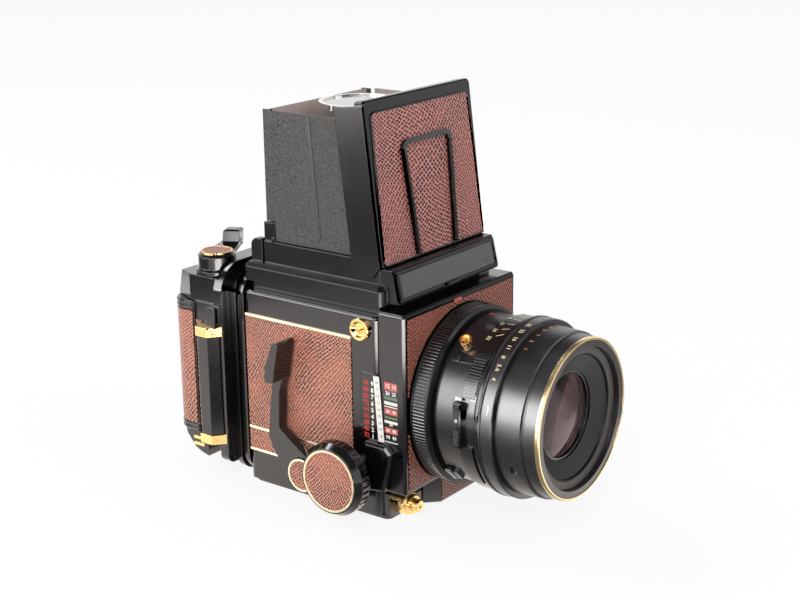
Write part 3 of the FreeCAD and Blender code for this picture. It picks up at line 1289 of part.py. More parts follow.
def hood_leaf(side, label):
    """Side leaf on its hinge barrel, with the seam pressed down its middle."""
    hinge = D.leaf_hinge if side < 0 else D.leaf_hinge + D.leaf_step
    tall = D.leaf_top - hinge
    lean = math.tan(LEAN)
    sheet = D.leaf_sheet
    leaf = padded("YZ_Plane", [
        (-D.leaf_front_low, 0), (D.leaf_back, 0), (D.leaf_back, tall),
        (tall * lean - D.leaf_front_low, tall),
    ], sheet)
    place(leaf, sheet / -2, 0, 0)
    long = D.leaf_front_low + D.leaf_back
    barrel = rod(D.pin_radius, long, (0, -D.leaf_front_low, 0), "y")
    stubs = rod(D.stub_radius, long + D.stub_long * 2, (0, -D.leaf_front_low - D.stub_long, 0), "y")
    seam = padded("YZ_Plane", [(-0.1, 3), (1.6, 3), (7.7, tall + 1), (6.0, tall + 1)], 0.45)
    place(seam, sheet / -2 - 0.1 if side < 0 else sheet / 2 - 0.35, 0, 0)
    shaped = less(join(leaf, barrel, stubs), seam)
    place(shaped, D.leaf_plane * side, 0, hinge)
    keep(shaped, label)


def rear_panel():
    """Rear panel of the hood on its hinge barrel, with folded side edges."""
    half = D.rear_wide / 2
    tall = D.leaf_top - D.rear_hinge
    sheet = box((-half, half), (-0.5, 0.5), (0, tall))
    edges = [box((x, x + 1), (-2.8, 3.4), (2.5, tall)) for x in (-half, half - 1)]
    barrel = rod(D.pin_radius, D.rear_wide, (-half, 0, 0), "x")
    stubs = rod(D.stub_radius, D.rear_wide + D.stub_long * 2, (-half - D.stub_long, 0, 0), "x")
    keep(place(join(sheet, *edges, barrel, stubs), 0, D.rear_plane, D.rear_hinge), "rear_panel")


def magnifier():
    """Magnifier arm with its hinge barrel and ring, and the lens in it."""
    reach = D.glass_arm_ahead + D.magnifier_behind
    ring = rod(D.magnifier_radius, 3.2, (0, reach, -0.7))
    arm = box((-9, 9), (0, reach - D.magnifier_radius + 3), (-0.7, 0.7))
    barrel = rod(1.3, D.glass_barrel, (D.glass_barrel / -2, 0, 0), "x")
    stubs = rod(D.stub_radius, D.glass_barrel + D.stub_long * 2,
                (D.glass_barrel / -2 - D.stub_long, 0, 0), "x")
    hole = rod(D.magnifier_radius - 2.2, 6, (0, reach, -2))
    held = less(join(ring, arm, barrel, stubs), hole)
    place(held, 0, -D.glass_arm_ahead, D.glass_arm_height)
    keep(held, "magnifier_arm")
    glass = rod(D.magnifier_radius - 2.2, 1.6, (0, -D.glass_arm_ahead + reach, D.glass_arm_height))
    keep(group(glass), "magnifier_glass")


# Film back

def back_place():
    """Front of the revolving adapter behind the origin."""
    return D.body_back + D.adapter_gap


HOLDER_FRONT = back_place() + D.adapter_thick + 0.2
BODY_FRONT = HOLDER_FRONT + D.holder_plate
DOOR_FRONT = BODY_FRONT + D.holder_body
DOOR_AXIS = DOOR_FRONT + 0.8
SPOOL_Y = DOOR_FRONT - 2
BRACKET_LOW = D.bar_low - D.bracket_high
BRACKET_TOP = D.bar_high + D.bracket_high
KNUCKLES = [(26, 40), (58, 68), (86, 100)]
HOLDER_SIDE = D.holder_wide / 2 - D.holder_step
DOOR_SIDE = HOLDER_SIDE + 1.0
DOOR_HINGE = HOLDER_SIDE + D.hinge_out
BAR_OUTER = D.holder_wide / 2 + D.bar_thick


def upright_plate(half_wide, low, high, front, back, corner):
    """A plate across the lens axis with rounded corners."""
    plate = padded("XZ_Plane", [(-half_wide, low), (half_wide, low), (half_wide, high), (-half_wide, high)],
                   back - front)
    round_edges(plate, corner, lambda edge: parallel(edge, (0, 1, 0)))
    return place(plate, 0, back, 0)


def revolving_adapter():
    """Adapter that turns on its spigot: two steps with a groove between, and the gate."""
    half = D.adapter_wide / 2
    front = back_place()
    back = front + D.adapter_thick
    low, high = D.adapter_low, D.lens_height * 2 - D.adapter_low
    middle = front + D.adapter_thick / 2
    first = upright_plate(half - 1, low + 1, high - 1, front, middle - 0.7, D.adapter_round)
    neck = upright_plate(half - 2.4, low + 2.4, high - 2.4, middle - 1, middle + 1, D.adapter_round)
    second = upright_plate(half, low, high, middle + 0.7, back, D.adapter_round)
    spigot = rod(D.spigot_radius, D.spigot_deep + D.adapter_gap + 1,
                 (0, front - D.spigot_deep - D.adapter_gap, D.lens_height), "y")
    gate = box((D.film_wide / -2, D.film_wide / 2), (front - 4, back + 1),
               (D.lens_height - D.film_high / 2, D.lens_height + D.film_high / 2))
    keep(less(join(first, neck, second, spigot), gate), "revolving_adapter")


def holder_casing():
    """Film holder: front plate, spool chambers, film gate, top cap and bottom cap."""
    wide = D.holder_wide / 2
    plate = padded("XZ_Plane", [(-wide, D.holder_low), (wide, D.holder_low), (wide, D.plate_high),
                                (-wide, D.plate_high)], D.holder_plate)
    for corner, top in ((5.0, False), (D.holder_round, True)):
        round_edges(plate, corner, lambda edge: parallel(edge, (0, 1, 0))
                    and (edge.CenterOfMass.z > 60) == top)
    place(plate, 0, BODY_FRONT, 0)
    thinned = box((-wide - 1, wide + 1), (HOLDER_FRONT + 3, BODY_FRONT + 1),
                  (D.holder_high, D.plate_high + 1))
    side = HOLDER_SIDE
    body = box((-side, side), (BODY_FRONT - 1, DOOR_FRONT), (D.foot_top, D.cap_low))
    back = DOOR_FRONT + D.door_deep - 0.4
    plan = padded("XY_Plane", [(-side, BODY_FRONT - 5), (side, BODY_FRONT - 5), (side, back - 17),
                               (side - 8, back + 1), (8 - side, back + 1), (-side, back - 17)],
                  D.holder_high - D.cap_low)
    place(plan, 0, 0, D.cap_low)
    slope = padded("YZ_Plane", [(BODY_FRONT - 5, D.cap_low), (back, D.cap_low),
                                (back - 4.6, D.holder_high - 1.2),
                                (back - 5.8, D.holder_high), (BODY_FRONT - 5, D.holder_high)],
                                side * 2 - 1.6)
    place(slope, 0.8 - side, 0, 0)
    cap = DOCUMENT.addObject("Part::MultiCommon", "Cap")
    cap.Shapes = [plan, slope]
    foot_cap = padded("YZ_Plane", [(BODY_FRONT - 1, D.foot_top), (BODY_FRONT - 1, D.foot_top - 3),
                                   (D.foot_front, D.foot_top - 3), (D.foot_front, D.foot_low),
                                   (D.foot_front + 5.6, D.foot_low + 1.4),
                                   (D.foot_front + 10.2, D.foot_low + 3.6),
                                   (D.foot_front + 16.4, D.foot_low + 10.8),
                                   (D.foot_front + 17.2, D.foot_top)],
                      side * 2 - 1.4)
    place(foot_cap, 0.7 - side, 0, 0)
    prongs = [box((x, x + 1.4), (BODY_FRONT - 4, BODY_FRONT + 2), (BRACKET_TOP + 0.4, BRACKET_TOP + 12))
              for x in (-wide - 1.2, -wide - 4.4)]
    middle = (D.foot_top + D.cap_low) / 2
    low, high = middle - D.spool_long / 2 - 0.4, middle + D.spool_long / 2 + 0.4
    chambers, pins = [], []
    for x in (-D.spool_side, D.spool_side):
        chambers.append(rod(D.chamber_radius, high - low, (x, SPOOL_Y, low)))
        chambers.append(box((x - D.chamber_radius + 1, x + D.chamber_radius - 1), (SPOOL_Y, DOOR_FRONT + 1),
                            (low, high)))
        pins.append(rod(D.spool_pin, 3.6, (x, SPOOL_Y, low - 0.6)))
        pins.append(rod(D.spool_pin, 3.6, (x, SPOOL_Y, high - 3)))
    film = D.lens_height - 31.5, D.lens_height + 31.5
    path = box((-D.spool_side, D.spool_side), (BODY_FRONT, BODY_FRONT + 0.6), film)
    gate = box((D.film_wide / -2, D.film_wide / 2), (HOLDER_FRONT - 1, BODY_FRONT + 0.3),
               (D.lens_height - D.film_high / 2, D.lens_height + D.film_high / 2))
    recess = box((-26, 26), (BODY_FRONT + 3.5, DOOR_FRONT + 1), (low, high))
    slot = box((-D.slide_inside - 0.4, D.holder_wide / 2 + 1),
               (HOLDER_FRONT + 1.4, HOLDER_FRONT + 1.6 + D.slide_thick),
               (D.lens_height - D.slide_high / 2 - D.fit_gap, D.lens_height + D.slide_high / 2 + D.fit_gap))
    hub = rod(D.wind_post + D.run_gap, 8, (-D.wind_side, D.wind_behind, D.holder_high - 7))
    pad = box((-wide, 0.6 - side), (BODY_FRONT - 1, D.bar_back), (BRACKET_LOW, BRACKET_TOP))
    shelf = box((-wide - 4.4, 0.6 - side), (BODY_FRONT - 4, BODY_FRONT + 5),
                (BRACKET_TOP + 0.2, BRACKET_TOP + 1.8))
    knuckles = [rod(D.door_knuckle, top - foot, (DOOR_HINGE, DOOR_AXIS, foot)) for foot, top in KNUCKLES]
    leaves = [box((side - 0.6, DOOR_HINGE), (DOOR_AXIS - D.door_knuckle, DOOR_FRONT - 0.2), (foot, top))
              for foot, top in KNUCKLES]
    pin = rod(D.pin_radius, KNUCKLES[-1][1] - KNUCKLES[0][0], (DOOR_HINGE, DOOR_AXIS, KNUCKLES[0][0]))
    solid = join(less(plate, thinned), body, cap, foot_cap, pad, shelf, *prongs)
    hollow = less(solid, *chambers, path, gate, recess, slot, hub)
    keep(join(hollow, *pins, *knuckles, *leaves, pin), "holder_casing")


def door_outline(grow, front, high):
    """The door's plan with its rounded corners, grown by a margin."""
    side = DOOR_SIDE + grow
    plan = padded("XY_Plane", [(-side, front), (side, front), (side, D.door_deep + grow),
                               (-side, D.door_deep + grow)], high)
    return round_edges(plan, D.door_round + grow, lambda edge: parallel(edge, (0, 0, 1))
                       and edge.CenterOfMass.y > 8)


def film_door():
    """Door shell with rounded upright corners, edge beads and the pressure plate inside."""
    side = DOOR_SIDE
    tall = D.cap_low - D.foot_top - 1
    shell = door_outline(0, 0, tall)
    beads = []
    for z in (0.4, 3.0, tall - 5.0, tall - 2.4):
        bead = door_outline(D.door_lip, 0.4, 2.0)
        round_edges(bead, 0.6, lambda edge: edge.CenterOfMass.y > 3 and not parallel(edge, (0, 0, 1)),
                    "PartDesign::Chamfer")
        beads.append(place(bead, 0, 0, z))
    wall = D.door_wall
    inner = door_outline(-wall, -1, tall - wall * 2)
    place(inner, 0, 0, wall)
    place(shell, 0, 0, 0)
    front = DOOR_FRONT + 0.2
    foot = D.foot_top + 0.5
    middle = D.lens_height - foot
    rib = box((-24, 24), (wall + 2, D.door_deep - wall + 0.2), (middle - 1, middle + 1))
    rooms, tubes = [], []
    gap = D.fit_gap
    previous = None
    for low, high in KNUCKLES:
        rooms.append(rod(D.door_knuckle + gap * 3, high - low + gap * 2,
                         (DOOR_HINGE, DOOR_AXIS - front, low - foot - gap)))
        if previous is not None:
            tube = rod(D.door_knuckle, low - previous - gap * 2,
                       (DOOR_HINGE, DOOR_AXIS - front, previous + gap - foot))
            web = box((side - wall, DOOR_HINGE), (DOOR_AXIS - front, DOOR_AXIS - front + D.door_knuckle),
                      (previous + gap - foot, low - gap - foot))
            tubes += [tube, web]
        previous = high
    bore = rod(D.pin_radius + D.run_gap, D.cap_low - D.foot_top, (DOOR_HINGE, DOOR_AXIS - front, 0))
    door = less(join(less(join(shell, *beads), inner), rib, *tubes), *rooms, bore)
    keep(place(door, 0, front, foot), "film_door")


def door_leather():
    """Leather wrapped round the back of the door."""
    low, high = D.foot_top + 6.2, D.cap_low - 6.2
    outer = door_outline(D.leather_thick, 1.2, high - low)
    inner = door_outline(0, 0, high - low + 2)
    place(inner, 0, 0, -1)
    place(outer, 0, 0, 0)
    hinge_side = box((DOOR_SIDE - 1, DOOR_SIDE + 2), (0, 3.4), (-1, high - low + 1))
    keep(place(less(outer, inner, hinge_side), 0, DOOR_FRONT + 0.2, low), "door_leather")


def spool(side, label):
    """Roll film spool: core, two flanges, slotted ends."""
    half = D.spool_long / 2
    reel = turned([
        (0, -half), (D.spool_flange, -half), (D.spool_flange, 1.2 - half), (D.spool_core, 1.2 - half),
        (D.spool_core, half - 1.2), (D.spool_flange, half - 1.2), (D.spool_flange, half), (0, half),
    ])
    slots = [box((-4.5, 4.5), (-0.9, 0.9), (z, z + 6)) for z in (half - 5, -half - 1)]
    sockets = [rod(D.spool_pin + D.run_gap, 6, (0, 0, z)) for z in (half - 5, -half - 1)]
    slotted = less(reel, *slots, *sockets)
    keep(place(slotted, D.spool_side * side, SPOOL_Y, (D.foot_top + D.cap_low) / 2), label)


def bar_section(grow, low, high):
    """A length of the lock bar's chamfered section, grown by a margin."""
    inner, outer = D.holder_wide / 2 + 0.3 - grow, BAR_OUTER + grow
    front, back = D.bar_front + 1 - grow, D.bar_back + grow
    section = padded("XY_Plane", [
        (-inner, front), (-inner, back), (4 - outer, back), (-outer, back - 2.2), (-outer, front + 7.4),
        (3.4 - outer, front),
    ], high - low)
    return place(section, 0, 0, low)


def lock_bar():
    """Sliding lock bar with chamfered edges; its ends stay inside the brackets."""
    keep(bar_section(0, BRACKET_LOW + 1.6, BRACKET_TOP - 1.6 - D.bar_travel), "lock_bar")


def lock_brackets():
    """Two gold sleeves that guide the ends of the lock bar."""
    lower = less(bar_section(D.bracket_wall, BRACKET_LOW, D.bar_low),
                 bar_section(D.fit_gap, BRACKET_LOW + 0.8, D.bar_low + 1))
    upper = less(bar_section(D.bracket_wall, D.bar_high, BRACKET_TOP),
                 bar_section(D.fit_gap, D.bar_high - 1, BRACKET_TOP - 0.8))
    clear = box((D.holder_wide / -2, 0), (D.bar_front - 2, D.bar_back + 2),
                (BRACKET_LOW - 1, BRACKET_TOP + 1))
    keep(group(less(lower, clear), less(upper, clear)), "lock_brackets")


def dark_slide():
    """Dark slide blade with its grip outside the holder."""
    y = HOLDER_FRONT + 1.5
    blade = box((-D.slide_inside, D.holder_wide / 2 + 2), (y, y + D.slide_thick),
                (D.lens_height - D.slide_high / 2, D.lens_height + D.slide_high / 2))
    grip = padded("XY_Plane", [(0, -1.0), (5.2, -1.0), (6.4, 0.2), (6.4, 2.4), (5.2, 3.2), (0, 3.2)],
                  D.slide_high - 4)
    place(grip, D.holder_wide / 2 + 0.5, y - 0.4, D.lens_height - D.slide_high / 2 + 2)
    keep(join(blade, grip), "dark_slide")


def advance_lever():
    """Film advance lever: hub with its skirt, arm and upturned thumb pad."""
    foot = D.holder_high + 0.2
    crown = D.wind_top - foot
    hub = turned([
        (0, -6), (D.wind_post, -6), (D.wind_post, 0), (D.wind_radius, 0), (D.wind_radius, 2.2),
        (D.wind_radius - 1.2, 3.4), (D.wind_radius - 1.2, crown - 1.6), (D.wind_radius - 2.4, crown),
        (D.wind_radius - 3.0, crown), (D.wind_radius - 3.0, crown - 0.8), (0, crown - 0.8),
    ])
    reach = D.wind_reach
    arm = padded("XY_Plane", [(5, -7.6), (reach - 8, -5.6), (reach, -5.4), (reach + 0.6, 4.8),
                              (reach - 8, 5.4),
                              (5, 7.6)], 2.8)
    round_edges(arm, 1.4, lambda edge: parallel(edge, (0, 0, 1)) and edge.CenterOfMass.x > 10)
    place(arm, 0, 0, crown - 4.6)
    pad = padded("XZ_Plane", [(reach - 10, crown - 3), (reach, crown - 3), (reach + 2, crown + 4.6),
                              (reach - 7, crown + 4.6)], 10.0)
    round_edges(pad, 1.6, lambda edge: edge.CenterOfMass.z > crown.value + 3)
    place(pad, 0, 4.7, 0)
    lever = join(hub, arm, pad)
    place(lever, -D.wind_side, D.wind_behind, foot, axis=(0, 0, 1), angle=28)
    keep(lever, "advance_lever")


def advance_trim(label, radius_in, radius_out, high):
    """Ring or disc let into the top of the advance hub."""
    low = D.wind_top - 0.8
    ring = turned([(radius_in, 0), (radius_out, 0), (radius_out, high), (radius_in, high)])
    keep(place(ring, -D.wind_side, D.wind_behind, low), label)


def build():
    """Model every sub-part."""
    body_casing()
    base_plate()
    side_leather(-1, "side_leather_right")
    side_leather(1, "side_leather_left")
    trim_lines()
    strap_lugs()
    body_scale_plate()
    focusing_screen()
    pinion_housing()
    release_collar()
    release_button()
    bellows()
    focus_shaft()
    focus_knob(-1, "focus_knob_right")
    focus_knob(1, "focus_knob_left")
    face = D.knob_rim + D.knob_bevel
    seat = D.knob_disc + D.knob_ring
    knob_trim("knob_rings", D.knob_disc, seat, face - D.disc_thick, face + 0.2)
    knob_trim("knob_leather", 0, D.knob_disc, face - D.disc_thick, face)
    shaft_collars()
    focus_lock_lever()
    cocking_lever()
    cocking_trim("cocking_hub_ring", D.hub_disc, D.hub_ring, 0.9)
    cocking_trim("cocking_hub_leather", 0, D.hub_disc, 0.6)
    mirror()
    front_standard()
    standard_leather()
    focus_racks()
    bayonet_ring()
    rear_barrel()
    sync_socket()
    speed_ring()
    stop_ring = plain_ring(D.stop_radius, D.speed_to + D.ring_gap, D.stop_to)
    keep(on_lens_axis(stop_ring), "aperture_ring")
    depth_ring = plain_ring(D.depth_radius, D.stop_to + D.ring_gap, D.depth_to)
    keep(on_lens_axis(depth_ring), "depth_scale_ring")
    front_barrel()
    lens_rim()
    lens_glass("front_glass", D.glass_radius, D.glass_at - 1.4, 3.2, 2.0, True)
    lens_glass("rear_glass", D.rear_glass_radius, -6.0, 1.6, 2.4, False)
    iris_blades()
    hood_base()
    nose_plate()
    hood_lid()
    lid_leather()
    lid_moulding()
    hood_leaf(-1, "hood_leaf_right")
    hood_leaf(1, "hood_leaf_left")
    rear_panel()
    magnifier()
    revolving_adapter()
    holder_casing()
    film_door()
    door_leather()
    spool(-1, "take_up_spool")
    spool(1, "supply_spool")
    lock_bar()
    lock_brackets()
    dark_slide()
    advance_lever()
    advance_trim("advance_ring", D.wind_radius - 4.0, D.wind_radius - 3.0, 1.6)
    advance_trim("advance_leather", 0, D.wind_radius - 4.0, 1.4)


def check_document():
    """Stop on any failed object or any sub-part without a sound shape."""
    DOCUMENT.recompute()
    for thing in DOCUMENT.Objects:
        if "Invalid" in thing.State or "Error" in thing.State:
            raise RuntimeError(f"{thing.Name} ({thing.Label}) failed: {thing.State}")
    for node in NODES:
        if node.Shape.isNull() or not node.Shape.isValid() or not node.Shape.Solids:
            raise RuntimeError(f"{node.Label} has no sound shape")


def write_steps():
    """Write one STEP file for each sub-part."""
    os.makedirs("parts", exist_ok=True)
    for node in NODES:
        node.Shape.exportStep(os.path.join("parts", f"{node.Label}.step"))
        print(node.Label, len(node.Shape.Solids), round(node.Shape.Volume, 1))


build()
check_document()
write_steps()
print(len(NODES), "sub-parts")
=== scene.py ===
"""Looks of the medium format film camera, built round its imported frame.

Lengths are in millimetres in the frame's axes: X to the camera's left, Y to its back, Z up.
"""
import math

import bpy
from mathutils import Matrix, Vector


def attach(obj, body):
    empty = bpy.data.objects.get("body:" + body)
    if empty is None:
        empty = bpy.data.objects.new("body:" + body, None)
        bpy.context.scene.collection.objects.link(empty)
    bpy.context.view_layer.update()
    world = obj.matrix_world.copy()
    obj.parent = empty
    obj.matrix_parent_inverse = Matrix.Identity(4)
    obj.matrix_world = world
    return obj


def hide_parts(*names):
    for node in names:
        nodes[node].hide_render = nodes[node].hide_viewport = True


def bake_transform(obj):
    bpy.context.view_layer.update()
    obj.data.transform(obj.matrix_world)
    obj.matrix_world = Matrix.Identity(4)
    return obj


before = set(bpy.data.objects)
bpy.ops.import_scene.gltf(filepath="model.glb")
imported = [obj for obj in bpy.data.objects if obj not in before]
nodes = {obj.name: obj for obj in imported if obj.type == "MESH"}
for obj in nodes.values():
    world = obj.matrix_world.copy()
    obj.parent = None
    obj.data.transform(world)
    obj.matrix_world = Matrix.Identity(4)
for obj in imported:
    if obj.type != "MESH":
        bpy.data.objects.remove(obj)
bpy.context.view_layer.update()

MM = 0.001
LENS_HEIGHT = 62.5       # lens axis above the base
STANDARD_FRONT = 60.0    # front face of the standard, ahead of the origin
STANDARD_SIDE = -52.02   # right face of the standard
SCALE_PLATE = -52.62     # right face of the body's scale plate
DOOR_REAR = 104.0        # rear face of the film door's skin


# Colours and nodes

def paint(code):
    """Linear colour of an sRGB hex value."""
    parts = [int(code[at:at + 2], 16) / 255 for at in (1, 3, 5)]
    return [part / 12.92 if part <= 0.04045 else ((part + 0.055) / 1.055) ** 2.4
            for part in parts] + [1.0]


def per(millimetres):
    """Scale of a pattern whose features have the given size."""
    return 1 / (millimetres * MM)


def add(tree, kind, links=None, **settings):
    """Add a node with its settings, and link or set its inputs."""
    node = tree.nodes.new(kind)
    for name, value in settings.items():
        setattr(node, name, value)
    for socket, source in (links or {}).items():
        if isinstance(source, bpy.types.NodeSocket):
            tree.links.new(source, node.inputs[socket])
        else:
            node.inputs[socket].default_value = source
    return node


def surface(name, colour, roughness, **plain):
    """A material whose surface shader starts from plain values."""
    material = bpy.data.materials.new(name)
    material.use_nodes = True
    tree = material.node_tree
    shader = tree.nodes["Principled BSDF"]
    shader.inputs["Base Color"].default_value = paint(colour)
    shader.inputs["Roughness"].default_value = roughness
    for socket, value in plain.items():
        shader.inputs[socket.replace("_", " ")].default_value = value
    return material, tree, shader


def relief(tree, shader, height, millimetres, strength=1.0, rounded=0.0):
    """Relief of a given depth, over edges that look rounded."""
    links = {"Height": height, "Distance": millimetres * MM, "Strength": strength}
    if rounded > 0:
        soft = add(tree, "ShaderNodeBevel", {"Radius": rounded * MM}, samples=4)
        links["Normal"] = soft.outputs["Normal"]
    raised = add(tree, "ShaderNodeBump", links)
    tree.links.new(raised.outputs["Normal"], shader.inputs["Normal"])


# Finishes. The grain of enamel, anodising, mouldings, print, bare metal and crinkle lacquer is
# drawn coarser than real, so that it still shows when the whole camera is in view. The scales of
# the skin have a real size.

HANDLED_PATCH = 18.0                     # size of the uneven gloss that handling leaves
SKIN_TURN = 45                           # slant of the rows of scales, in degrees
SKIN_SPREAD = 0.26                       # how far scales stray from their rows
SKIN_DRIFT, SKIN_DRIFT_REACH = 58, 17    # slow bending of the rows
SKIN_PATCH = 24.0                        # patches in which the scales are darker
SCALE_EDGE, SCALE_FLOOR = 0.46, 0.3      # a scale's rim and its flat middle, in scale widths
CRINKLE_CELL, CRINKLE_GRAIN = 0.9, 0.7   # pebbles of the lacquer and their grey speckle
# The grey is painted highlight from the lacquer's bumps, the pale pink grey painted glare on the
# hood's inner faces
CRINKLE_BLACK, CRINKLE_HIGHLIGHT_GREY, PAINTED_HOOD_GLARE = "#242322", "#51504f", "#b5a5a2"
PLATE_LEAN = 13                          # lean of the hood's nose plate, in degrees
PLATE_PANEL = ((79.5, 0.25), (0.0, 42.9), (130.25, 6.25))   # middle and half: ahead, X and Z


def enamelled(name, colour, roughness, speck, depth, rounded, **plain):
    """Paint or anodising on metal, with its grain and slightly uneven gloss."""
    material, tree, shader = surface(name, colour, roughness, **plain)
    place = add(tree, "ShaderNodeTexCoord").outputs["Object"]
    grain = add(tree, "ShaderNodeTexNoise", {"Vector": place, "Scale": per(speck), "Detail": 3.0})
    handled = add(tree, "ShaderNodeTexNoise", {"Vector": place, "Scale": per(HANDLED_PATCH),
                                               "Detail": 4.0})
    gloss = add(tree, "ShaderNodeMapRange", {"Value": handled.outputs["Fac"],
                                             "To Min": roughness * 0.8, "To Max": roughness * 1.3})
    tree.links.new(gloss.outputs["Result"], shader.inputs["Roughness"])
    relief(tree, shader, grain.outputs["Fac"], depth, 1.0, rounded)
    return material


def along_the_door(tree, parts):
    """Distance along a skin that runs from the door's sides over its rear face."""
    left = add(tree, "ShaderNodeMath", {0: parts.outputs["X"], 1: 0.0}, operation="GREATER_THAN")
    sign = add(tree, "ShaderNodeMath", {0: left.outputs["Value"], 1: -2.0, 2: 1.0},
               operation="MULTIPLY_ADD")
    ahead = add(tree, "ShaderNodeMath", {0: parts.outputs["Y"], 1: DOOR_REAR * MM},
                operation="SUBTRACT")
    along = add(tree, "ShaderNodeMath", {0: ahead.outputs["Value"], 1: sign.outputs["Value"],
                                         2: parts.outputs["X"]}, operation="MULTIPLY_ADD")
    return along.outputs["Value"]


def leather(name, across, up, wide, tall, shades, wrapped=False):
    """Dyed and glazed lizard skin: rows of small dark scales in a paler raised net.

    across and up are the axes that the skin lies in, wide and tall a scale's size.
    """
    rim, scale_tone, hollow = shades
    material, tree, shader = surface(name, rim, 0.42, Specular_IOR_Level=0.3, Coat_Weight=0.12,
                                     Coat_Roughness=0.2)
    place = add(tree, "ShaderNodeTexCoord").outputs["Object"]
    parts = add(tree, "ShaderNodeSeparateXYZ", {"Vector": place})
    level = along_the_door(tree, parts) if wrapped else parts.outputs[across]
    flat = add(tree, "ShaderNodeCombineXYZ", {"X": level, "Y": parts.outputs[up]})
    drift = add(tree, "ShaderNodeTexNoise", {"Vector": flat.outputs["Vector"],
                                             "Scale": per(SKIN_DRIFT), "Detail": 0.0},
                noise_dimensions="2D")
    centred = add(tree, "ShaderNodeVectorMath", {0: drift.outputs["Color"], 1: (0.5, 0.5, 0.5)},
                  operation="SUBTRACT")
    bent = add(tree, "ShaderNodeVectorMath", {0: centred.outputs["Vector"],
                                              "Scale": SKIN_DRIFT_REACH * MM}, operation="SCALE")
    moved = add(tree, "ShaderNodeVectorMath", {0: flat.outputs["Vector"],
                                               1: bent.outputs["Vector"]})
    laid = add(tree, "ShaderNodeMapping", {"Vector": moved.outputs["Vector"],
                                           "Rotation": (0, 0, math.radians(SKIN_TURN)),
                                           "Scale": (per(wide), per(tall), 1)})
    scale = add(tree, "ShaderNodeTexVoronoi", {"Vector": laid.outputs["Vector"], "Scale": 1.0,
                                               "Randomness": SKIN_SPREAD},
                voronoi_dimensions="2D", feature="F1")
    patches = add(tree, "ShaderNodeTexNoise", {"Vector": flat.outputs["Vector"],
                                               "Scale": per(SKIN_PATCH), "Detail": 1.0})
    draw = add(tree, "ShaderNodeSeparateColor", {"Color": scale.outputs["Color"]})
    deep = add(tree, "ShaderNodeMapRange", {"Value": patches.outputs["Fac"], "From Min": 0.42,
                                            "From Max": 0.6})
    depth = add(tree, "ShaderNodeMath", {0: draw.outputs["Red"], 1: 0.45,
                                         2: deep.outputs["Result"]}, operation="MULTIPLY_ADD")
    middle = add(tree, "ShaderNodeMix", {"Factor": depth.outputs["Value"], "A": paint(scale_tone),
                                         "B": paint(hollow)}, data_type="RGBA")
    inside = add(tree, "ShaderNodeMapRange", {"Value": scale.outputs["Distance"],
                                              "From Min": SCALE_EDGE, "From Max": SCALE_FLOOR},
                 interpolation_type="SMOOTHSTEP")
    dyed = add(tree, "ShaderNodeMix", {"Factor": inside.outputs["Result"], "A": paint(rim),
                                       "B": middle.outputs["Result"]}, data_type="RGBA")
    tree.links.new(dyed.outputs["Result"], shader.inputs["Base Color"])
    net = add(tree, "ShaderNodeMath", {0: 1.0, 1: inside.outputs["Result"]}, operation="SUBTRACT")
    relief(tree, shader, net.outputs["Value"], 0.14, 0.7, 0.3)
    return material


def crinkled(name, axis, plane, side, half):
    """Crinkle lacquer baked on sheet: a pebbled grain with speckled grey highlights.

    The grey speckle is painted highlight. A pale painted glare covers the inner faces: past the
    plane across the axis, on the given side, within half of X.
    """
    material, tree, shader = surface(name, CRINKLE_BLACK, 0.6, Specular_IOR_Level=0.35)
    place = add(tree, "ShaderNodeTexCoord").outputs["Object"]
    cells = add(tree, "ShaderNodeTexVoronoi", {"Vector": place, "Scale": per(CRINKLE_CELL),
                                               "Randomness": 1.0})
    fine = add(tree, "ShaderNodeTexNoise", {"Vector": place, "Scale": per(CRINKLE_GRAIN),
                                            "Detail": 2.0})
    speckled = add(tree, "ShaderNodeValToRGB", {"Fac": fine.outputs["Fac"]})
    stops = speckled.color_ramp.elements
    stops[0].position, stops[0].color = 0.36, paint(CRINKLE_BLACK)
    stops[1].position, stops[1].color = 0.66, paint(CRINKLE_HIGHLIGHT_GREY)
    parts = add(tree, "ShaderNodeSeparateXYZ", {"Vector": place})
    inner = add(tree, "ShaderNodeMath", {0: parts.outputs[axis], 1: plane * MM}, operation=side)
    across = add(tree, "ShaderNodeMath", {0: parts.outputs["X"]}, operation="ABSOLUTE")
    between = add(tree, "ShaderNodeMath", {0: across.outputs["Value"], 1: half * MM},
                  operation="LESS_THAN")
    glare_mask = add(tree, "ShaderNodeMath", {0: inner.outputs["Value"], 1: between.outputs["Value"]},
                operation="MULTIPLY")
    skin = add(tree, "ShaderNodeMix", {"Factor": glare_mask.outputs["Value"],
                                       "A": speckled.outputs["Color"], "B": paint(PAINTED_HOOD_GLARE)},
               data_type="RGBA")
    tree.links.new(skin.outputs["Result"], shader.inputs["Base Color"])
    relief(tree, shader, cells.outputs["Distance"], 0.16, 0.9)
    return material


def plated(name, colour, roughness):
    """Gold plate over polished brass, slightly uneven as buffed by hand."""
    material, tree, shader = surface(name, colour, roughness, Metallic=1.0)
    place = add(tree, "ShaderNodeTexCoord").outputs["Object"]
    waves = add(tree, "ShaderNodeTexNoise", {"Vector": place, "Scale": per(2.5), "Detail": 3.0})
    relief(tree, shader, waves.outputs["Fac"], 0.03, 0.6, 0.3)
    strokes = add(tree, "ShaderNodeTexNoise", {"Vector": place, "Scale": per(6.0), "Detail": 4.0})
    buffed = add(tree, "ShaderNodeMapRange", {"Value": strokes.outputs["Fac"],
                                              "To Min": roughness * 0.7,
                                              "To Max": roughness * 1.6})
    tree.links.new(buffed.outputs["Result"], shader.inputs["Roughness"])
    return material


def grained(name, colour, roughness, grain, depth, rounded=0.0, strength=0.5, **plain):
    """A finish with one fine grain: moulded plastic, print, machined metal or glass."""
    material, tree, shader = surface(name, colour, roughness, **plain)
    place = add(tree, "ShaderNodeTexCoord").outputs["Object"]
    fine = add(tree, "ShaderNodeTexNoise", {"Vector": place, "Scale": per(grain), "Detail": 3.0})
    relief(tree, shader, fine.outputs["Fac"], depth, strength, rounded)
    return material


